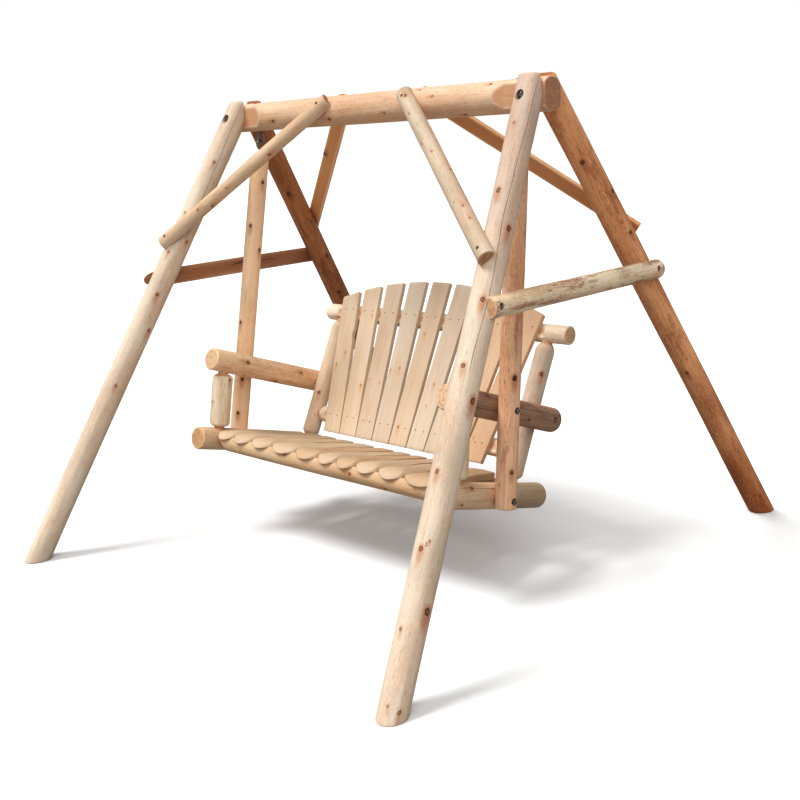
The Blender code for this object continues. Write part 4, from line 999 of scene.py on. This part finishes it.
for side_name, side in SIDES:
    shift = np.array([side * POST_X, 0.0, 0.0])
    log = rough_log(shift + rear_spot + recline * 0.013, shift + top_spot - recline * 0.0105, POST_R,
                    (side, 0.0, 0.0), 81 + side, tenoned_end(POST_R, BACK_TENON_R, 0.036, 0.022),
                    tenoned_end(POST_R, BACK_TENON_R, 0.030, 0.036), more=3, knots=back_post_knots[side])
    bench_log(log, "back_post_" + side_name, back_post_woods[side])
low_end = tenoned_end(LOW_RAIL_R, BACK_TENON_R, 0.032, 0.022)
for name, spot, half, radius, seed, foot, head, more, planed in (
        ("top_back_rail", top_spot, 0.686, TOP_RAIL_R, 85, domed_end(TOP_RAIL_R, 0.022), sawn_end(TOP_RAIL_R, 0.003),
         6, 0.584),
        ("lower_back_rail", low_spot, 0.5732, LOW_RAIL_R, 86, low_end, low_end, 5, 0.497)):
    reach = np.array([half, 0.0, 0.0])
    log = rough_log(spot - reach, spot + reach, radius, forward, seed, foot, head, more=more)
    shave(log, spot + forward * BACK_FLAT, forward, np.abs(log.points[..., 0]) < planed)
    bench_log(log, name, back_rail_wood)

# Back slats: nine sawn boards, 98 by 20 mm, fanned out from the seat, edges eased, tops cut to one arc; four small
# screws each hold them to the two back rails.
SLAT_HALF, SLAT_THICK, SLAT_EASE, SLAT_FAN, SLAT_STEP = 0.049, 0.010, 0.002, 0.0461, 0.1016
SLAT_TOP, SLAT_ARC_R, SLAT_CORNER, SLAT_FOOT_UP, SLAT_FRONT = 0.714, 1.724, 0.010, 0.0752, 0.0363
NOTCH_UP, NOTCH_LONG, NOTCH_DEEP = 0.445, 0.020, 0.008
SLAT_SCREWS = ((0.560, 0.024), (0.0775, 0.0205))
SLAT_PICKS = (0, 0, 1, 2, 1, 2, 2, 3, 3)
slat_origin = rear_spot + recline * SLAT_FOOT_UP + forward * SLAT_FRONT
slat_axes = np.array([(1.0, 0.0, 0.0), recline, forward])


def board_wood(name, pale, warm, deep, nose=None):
    """Sawn board: growth rings drawn out along the length, with fibres, small knots and a slow change of tone; with
    painted light, a paler tone, over the nose slopes if its tone is given."""
    material, tree, shader = finish(name)
    grain = mark(tree, "grain")
    rings = fill(tree, growth_rings, {"Grain": grain, "Pitch": 0.0075})["Value"]
    mottle, fibre = bands(tree, grain, 9.0, 3.0), bands(tree, grain, 480.0, 10.0)
    spots = fill(tree, knot_marks, {"Knot": mark(tree, "knot"), "Grain": grain})
    tone = tinted(tree, ranged(tree, mottle, 0.35, 0.65), paint(*pale), paint(*warm))
    tone = wash(tree, tone, ranged(tree, rings, 0.35, 1.0, 0.0, 0.28), deep)
    tone = wash(tree, tone, ranged(tree, fibre, 0.4, 0.8, 0.0, 0.3), deep)
    # painted light: a paler tone over the nose slopes
    if nose:
        tone = wash(tree, tone, parted(tree, mark(tree, "nose_light"))[0], nose, 0.52)
    tone = wash(tree, tone, spots["Stain"], (206, 146, 92), 0.5)
    tone = wash(tree, tone, spots["Heart"], (176, 108, 62), 0.6)
    tone = wash(tree, tone, spots["Rim"], (122, 72, 42), 0.45)
    height = calc(tree, "ADD", times(tree, fibre, 0.4), times(tree, rings, 0.5))
    plug(tree, shader, {"Base Color": tone, "Roughness": ranged(tree, fibre, 0.3, 0.7, 0.5, 0.72),
                        "Specular IOR Level": 0.3, "Normal": dented(tree, height, 0.35, 0.0008)})
    return material


def eased_section(half, thick, ease):
    """Columns round a board's section: (across, through) of a rectangle with quarter-circle corners, side by side."""
    bend = np.radians(np.linspace(0.0, 90.0, 4))
    flat = np.linspace(-1.0, 1.0, 13)[1:-1]
    sides = []
    for quarter, (wide, deep) in enumerate(((half, thick), (thick, half), (half, thick), (thick, half))):
        run = np.column_stack([np.full(11, 1.0) * wide, flat * (deep - ease)])
        corner = np.column_stack([wide - ease + ease * np.cos(bend), deep - ease + ease * np.sin(bend)])
        spin = math.pi / 2 * quarter
        turned = np.array([[math.cos(spin), math.sin(spin)], [-math.sin(spin), math.cos(spin)]])
        sides.append(np.vstack([run, corner]) @ turned)
    return np.vstack(sides)


def board_marks(across, through, along, seed, knots):
    """Grain and knot marks of a board: grain measured from a pith a few centimetres behind it and a little askew."""
    rng = np.random.default_rng(seed)
    side, behind, skew = rng.uniform(-0.03, 0.03), rng.uniform(0.03, 0.07), rng.normal(0.0, 0.02, 2)
    grain = np.stack([across + side + skew[0] * along, through + behind + skew[1] * along,
                      along + GRAIN_STEP * seed], -1)
    places = np.stack([(along[..., None] - knots[:, 0]) / (knots[:, 2] * 1.3),
                       (across[..., None] - knots[:, 1]) / knots[:, 2]], -1)
    nearest = np.argmin((places ** 2).sum(-1), axis=-1)
    place = np.take_along_axis(places, nearest[..., None, None], axis=-2)[..., 0, :]
    near = np.clip((3.0 - np.hypot(place[..., 0] * 0.34, place[..., 1])) / 0.5, 0.0, 1.0)
    return {"grain": grain, "knot": np.concatenate([place, near[..., None]], -1)}


# painted shade: slat_wood_mild is a darker, greyer copy of the pale wood, for slats 4, 6 and 7, and slat_wood_ruddy a
# darker, warmer one for slats 8 and 9, whose right ends lie in shade
slat_woods = [board_wood("slat_wood_pale", (226, 204, 175), (218, 190, 158), (203, 168, 132)),
              board_wood("slat_wood_warm", (211, 187, 160), (203, 175, 146), (184, 150, 116)),
              board_wood("slat_wood_mild", (211, 193, 170), (204, 180, 154), (189, 158, 128)),
              board_wood("slat_wood_ruddy", (212, 178, 143), (204, 165, 128), (186, 142, 104))]
# painted shade: the slat screws' heads are near black, standing for the shade in their countersinks
screw_steel, tree, shader = finish("screw_steel")
dull = speckle(tree, 400.0, 3.0)
plug(tree, shader, {"Base Color": tinted(tree, dull, paint(34, 28, 24), paint(64, 55, 48)),
                    "Roughness": ranged(tree, dull, 0.3, 0.7, 0.4, 0.6), "Metallic": 0.5})
screw_head = capped(turned_steel([(0.0030, 0.0), (0.0030, 0.0004), (0.0022, 0.0009)], 10),
                    (0.0, 0.0, 0.0), (0.0, 0.0, 0.0006))
inset = np.array([0.0016, 0.0005, 0.0] + [0.0] * 60 + [0.0, 0.0005, 0.0016])
share = np.concatenate([[0.0, 0.0005, 0.0016], np.linspace(0.02, 0.98, 60), [0.9984, 0.9995, 1.0]])[:, None]
screws = []
for number in range(9):
    rng = np.random.default_rng(90 + number)
    place = number - 4.0
    fan, foot = place * SLAT_FAN, place * SLAT_STEP
    half = SLAT_HALF / math.cos(math.atan(fan))
    section = eased_section(half, SLAT_THICK, SLAT_EASE)
    a = section[None, :, 0] * (1.0 - inset / half)[:, None]
    z = section[None, :, 1] * (1.0 - inset / SLAT_THICK)[:, None]
    top = SLAT_TOP - (foot + fan * SLAT_TOP + a) ** 2 / (2 * SLAT_ARC_R)
    if number in (0, 8):
        corner = np.clip((np.sign(place) * a - half + SLAT_CORNER) / SLAT_CORNER, 0.0, 1.0)
        top = top - SLAT_CORNER * (1.0 - np.sqrt(1.0 - corner ** 2))
    y = share * top
    edge = 1.0 + 0.010 * np.cos(9.0 * y + rng.uniform(0.0, 6.3)) * np.cos(31.0 * y + rng.uniform(0.0, 6.3)) - 0.010
    a = a * edge
    if number == 0:
        a = a - NOTCH_DEEP * np.exp(-((y - NOTCH_UP) / NOTCH_LONG) ** 2) * np.clip(a / half, 0.0, 1.0) ** 3
    local = np.stack([foot + fan * y + a, y, z], -1)
    top_y = (top[-1, 0] + top[-1, len(section) // 2]) / 2
    points, faces = capped(local, (foot, 0.0, 0.0), (foot + fan * top.mean(), top_y, 0.0))
    knots = np.column_stack([rng.uniform(0.05, 0.65, 2), rng.uniform(-0.04, 0.04, 2), rng.uniform(0.003, 0.006, 2)])
    marks = board_marks(np.concatenate([a.ravel(), [0.0, 0.0]]), points[:, 2], points[:, 1], 90 + number, knots)
    name = "back_slat_" + str(number + 1)
    make_piece(name, hung(slat_origin + points @ slat_axes), faces, slat_woods[SLAT_PICKS[number]], "swing",
               "slat_board", (name,), marks)
    for s, gap in SLAT_SCREWS:
        for hand in (-1, 1):
            spot = (foot + fan * s + hand * gap + rng.normal(0.0, 0.002), s + rng.normal(0.0, 0.002), 0.0098)
            screws.append((hung(slat_origin + (screw_head[0] + spot) @ slat_axes), screw_head[1]))
steel_piece("slat_screws", joined(*screws), "swing", solid=False, steel=screw_steel)

# Seat slats: ten half-log slabs of unequal width, round side up, flatter and narrower behind, with tongue noses
# thinned and bent over the front rail, and painted light on the nose slopes; laid flat side down on the planed rails.
SEAT_EDGES = (-0.642, -0.533, -0.417, -0.286, -0.137, -0.002, 0.106, 0.213, 0.333, 0.466, 0.636)
SEAT_FRONT, SEAT_REAR, SEAT_GAP, SEAT_THICK, SEAT_THIN, SEAT_EASE = -0.054, 0.42017, 0.0015, 0.030, 0.004, 0.004
NOSE_LONG, NOSE_SLOPE, NOSE_DROP, TAIL_LONG = 0.045, 0.110, 0.013, 0.020
WARM_SLABS = (4, 6, 9)
# painted shade: the seat woods are darker than the back slats' woods, to offset the light on the seat tops that face
# the key and the sky
seat_woods = [board_wood("seat_wood_pale", (189, 166, 136), (180, 151, 119), (158, 125, 93), (210, 181, 150)),
              board_wood("seat_wood_warm", (184, 151, 117), (172, 138, 102), (147, 111, 78), (206, 174, 139))]


def ramp(value, start, length):
    """Straight rise from nought at a start to one a length on."""
    return np.clip((value - start) / length, 0.0, 1.0)


nose_turns, tail_turns = np.radians(np.linspace(4.0, 90.0, 18)), np.radians(np.linspace(90.0, 4.0, 10))
nose_v = SEAT_FRONT + NOSE_LONG * (1.0 - np.cos(nose_turns))
tail_v = SEAT_REAR - TAIL_LONG + TAIL_LONG * np.cos(tail_turns)
slab_v = np.concatenate([nose_v, np.linspace(nose_v[-1], tail_v[0], 46)[1:-1], tail_v])[:, None]
slab_wide = np.concatenate([np.sin(nose_turns), np.ones(44), np.sin(tail_turns)])[:, None]
nose_rise = 1.0 - np.clip(1.0 - (slab_v - SEAT_FRONT) / NOSE_SLOPE, 0.0, 1.0) ** 2.3
nose_thick = SEAT_THIN + (SEAT_THICK - SEAT_THIN) * nose_rise
tail_thick = np.interp(slab_v, (SEAT_REAR - TAIL_LONG, SEAT_REAR - 0.006, SEAT_REAR), (SEAT_THICK, 0.026, 0.020))
taper = 1.0 - 0.14 * (slab_v - SEAT_FRONT) / (SEAT_REAR - SEAT_FRONT)
parting = 1.0 - 0.19 * ramp(slab_v, 0.08, 0.28)
sag = 0.017 - 0.011 * ramp(slab_v, 0.10, 0.14)
nose_bend = NOSE_DROP * np.clip((-0.024 - slab_v) / 0.030, 0.0, 1.0) ** 2
s = np.concatenate([np.linspace(-1.0, 1.0, 33), np.linspace(1.0, -1.0, 33)])[None, :]
upper = np.concatenate([np.ones(33), np.zeros(33)])[None, :] > 0.5
for number in range(10):
    rng = np.random.default_rng(110 + number)
    left, right = SEAT_EDGES[number] + SEAT_GAP, SEAT_EDGES[number + 1] - SEAT_GAP
    middle, half = (left + right) / 2, (right - left) / 2
    wide = half * taper * slab_wide * parting
    crown = (half ** 2 + sag ** 2) / (2 * sag)
    arch = SEAT_THICK - crown + np.sqrt(np.maximum(crown ** 2 - (s * wide) ** 2, 0.0))
    ease = np.clip((np.abs(s) * wide - wide + SEAT_EASE) / SEAT_EASE, 0.0, 1.0)
    above = np.minimum(arch, np.minimum(nose_thick, tail_thick)) - SEAT_EASE * (1.0 - np.sqrt(1.0 - ease ** 2))
    z = np.where(upper, np.maximum(above, SEAT_THIN), 0.0003)
    wander = 0.0007 * np.cos(14.0 * slab_v + rng.uniform(0.0, 6.3)) * np.cos(2.0 * s + rng.uniform(0.0, 6.3))
    z = z + np.where(upper & (z > 0.008), np.minimum(wander, 0.0), 0.0) - nose_bend
    local = np.stack([middle * taper + s * wide, slab_v + 0.0 * s, z], -1)
    points, faces = capped(local, *local[[0, -1]].mean(axis=1))
    faces = [face[::-1] for face in faces]
    knots = np.column_stack([rng.uniform(0.0, 0.40, 2), rng.uniform(-0.6, 0.6, 2) * half,
                             rng.uniform(0.003, 0.006, 2)])
    marks = board_marks(points[:, 0] - middle, points[:, 2] + 0.02, points[:, 1], 110 + number, knots)
    # painted light on the nose slopes: a share that rises toward the front, which the seat woods turn into a paler
    # tone
    nose_light_share = np.clip((SEAT_FRONT + 0.100 - points[:, 1]) / 0.080, 0.0, 1.0)
    marks["nose_light"] = np.column_stack([nose_light_share, nose_light_share, nose_light_share])
    points = seat_origin + points @ np.array([(1.0, 0.0, 0.0), seat_along, seat_up])
    name = "seat_slat_" + str(number + 1)
    make_piece(name, hung(points), faces, seat_woods[number in WARM_SLABS], "swing", "slat_board", (name,), marks)

# Studio: a plain pale floor out to the horizon that throws little light back up, a wide soft key from high on the
# front left, a weak fill from the right and an even white sky.
FLOOR_HALF = 60.0
corners = [(x * FLOOR_HALF, y * FLOOR_HALF, 0.0) for x, y in ((-1, -1), (1, -1), (1, 1), (-1, 1))]
floor_mesh = bpy.data.meshes.new("studio_floor")
floor_mesh.from_pydata(corners, [], [(0, 1, 2, 3)])
studio_floor = shown("studio_floor", floor_mesh)
floor_paint, tree, shader = finish("floor_paint")
seen = add(tree, "ShaderNodeLightPath").outputs["Is Camera Ray"]
plug(tree, shader, {"Base Color": tinted(tree, seen, (0.28, 0.27, 0.26, 1.0), (0.96, 0.96, 0.96, 1.0)),
                    "Roughness": 0.9, "Specular IOR Level": 0.1})
floor_mesh.materials.append(floor_paint)
for name, spot, spread, power in (("key_light", (-4.6, -4.9, 10.2), 22.0, 3.05),
                                  ("fill_light", (6.4, -6.0, 8.0), 50.0, 1.30)):
    lamp = bpy.data.lights.new(name, "SUN")
    lamp.angle = math.radians(spread)
    lamp.energy = power
    z = unit(spot)
    x = unit(np.cross(UP, z))
    aim(shown(name, lamp), x, np.cross(z, x), z, spot)
sky = bpy.data.worlds.new("studio_sky")
bpy.context.scene.world = sky
sky.use_nodes = True
seen = add(sky.node_tree, "ShaderNodeLightPath").outputs["Is Camera Ray"]
plug(sky.node_tree, sky.node_tree.nodes["Background"],
     {"Color": (1.0, 1.0, 1.0, 1.0), "Strength": ranged(sky.node_tree, seen, 0.0, 1.0, 0.42, 1.0)})
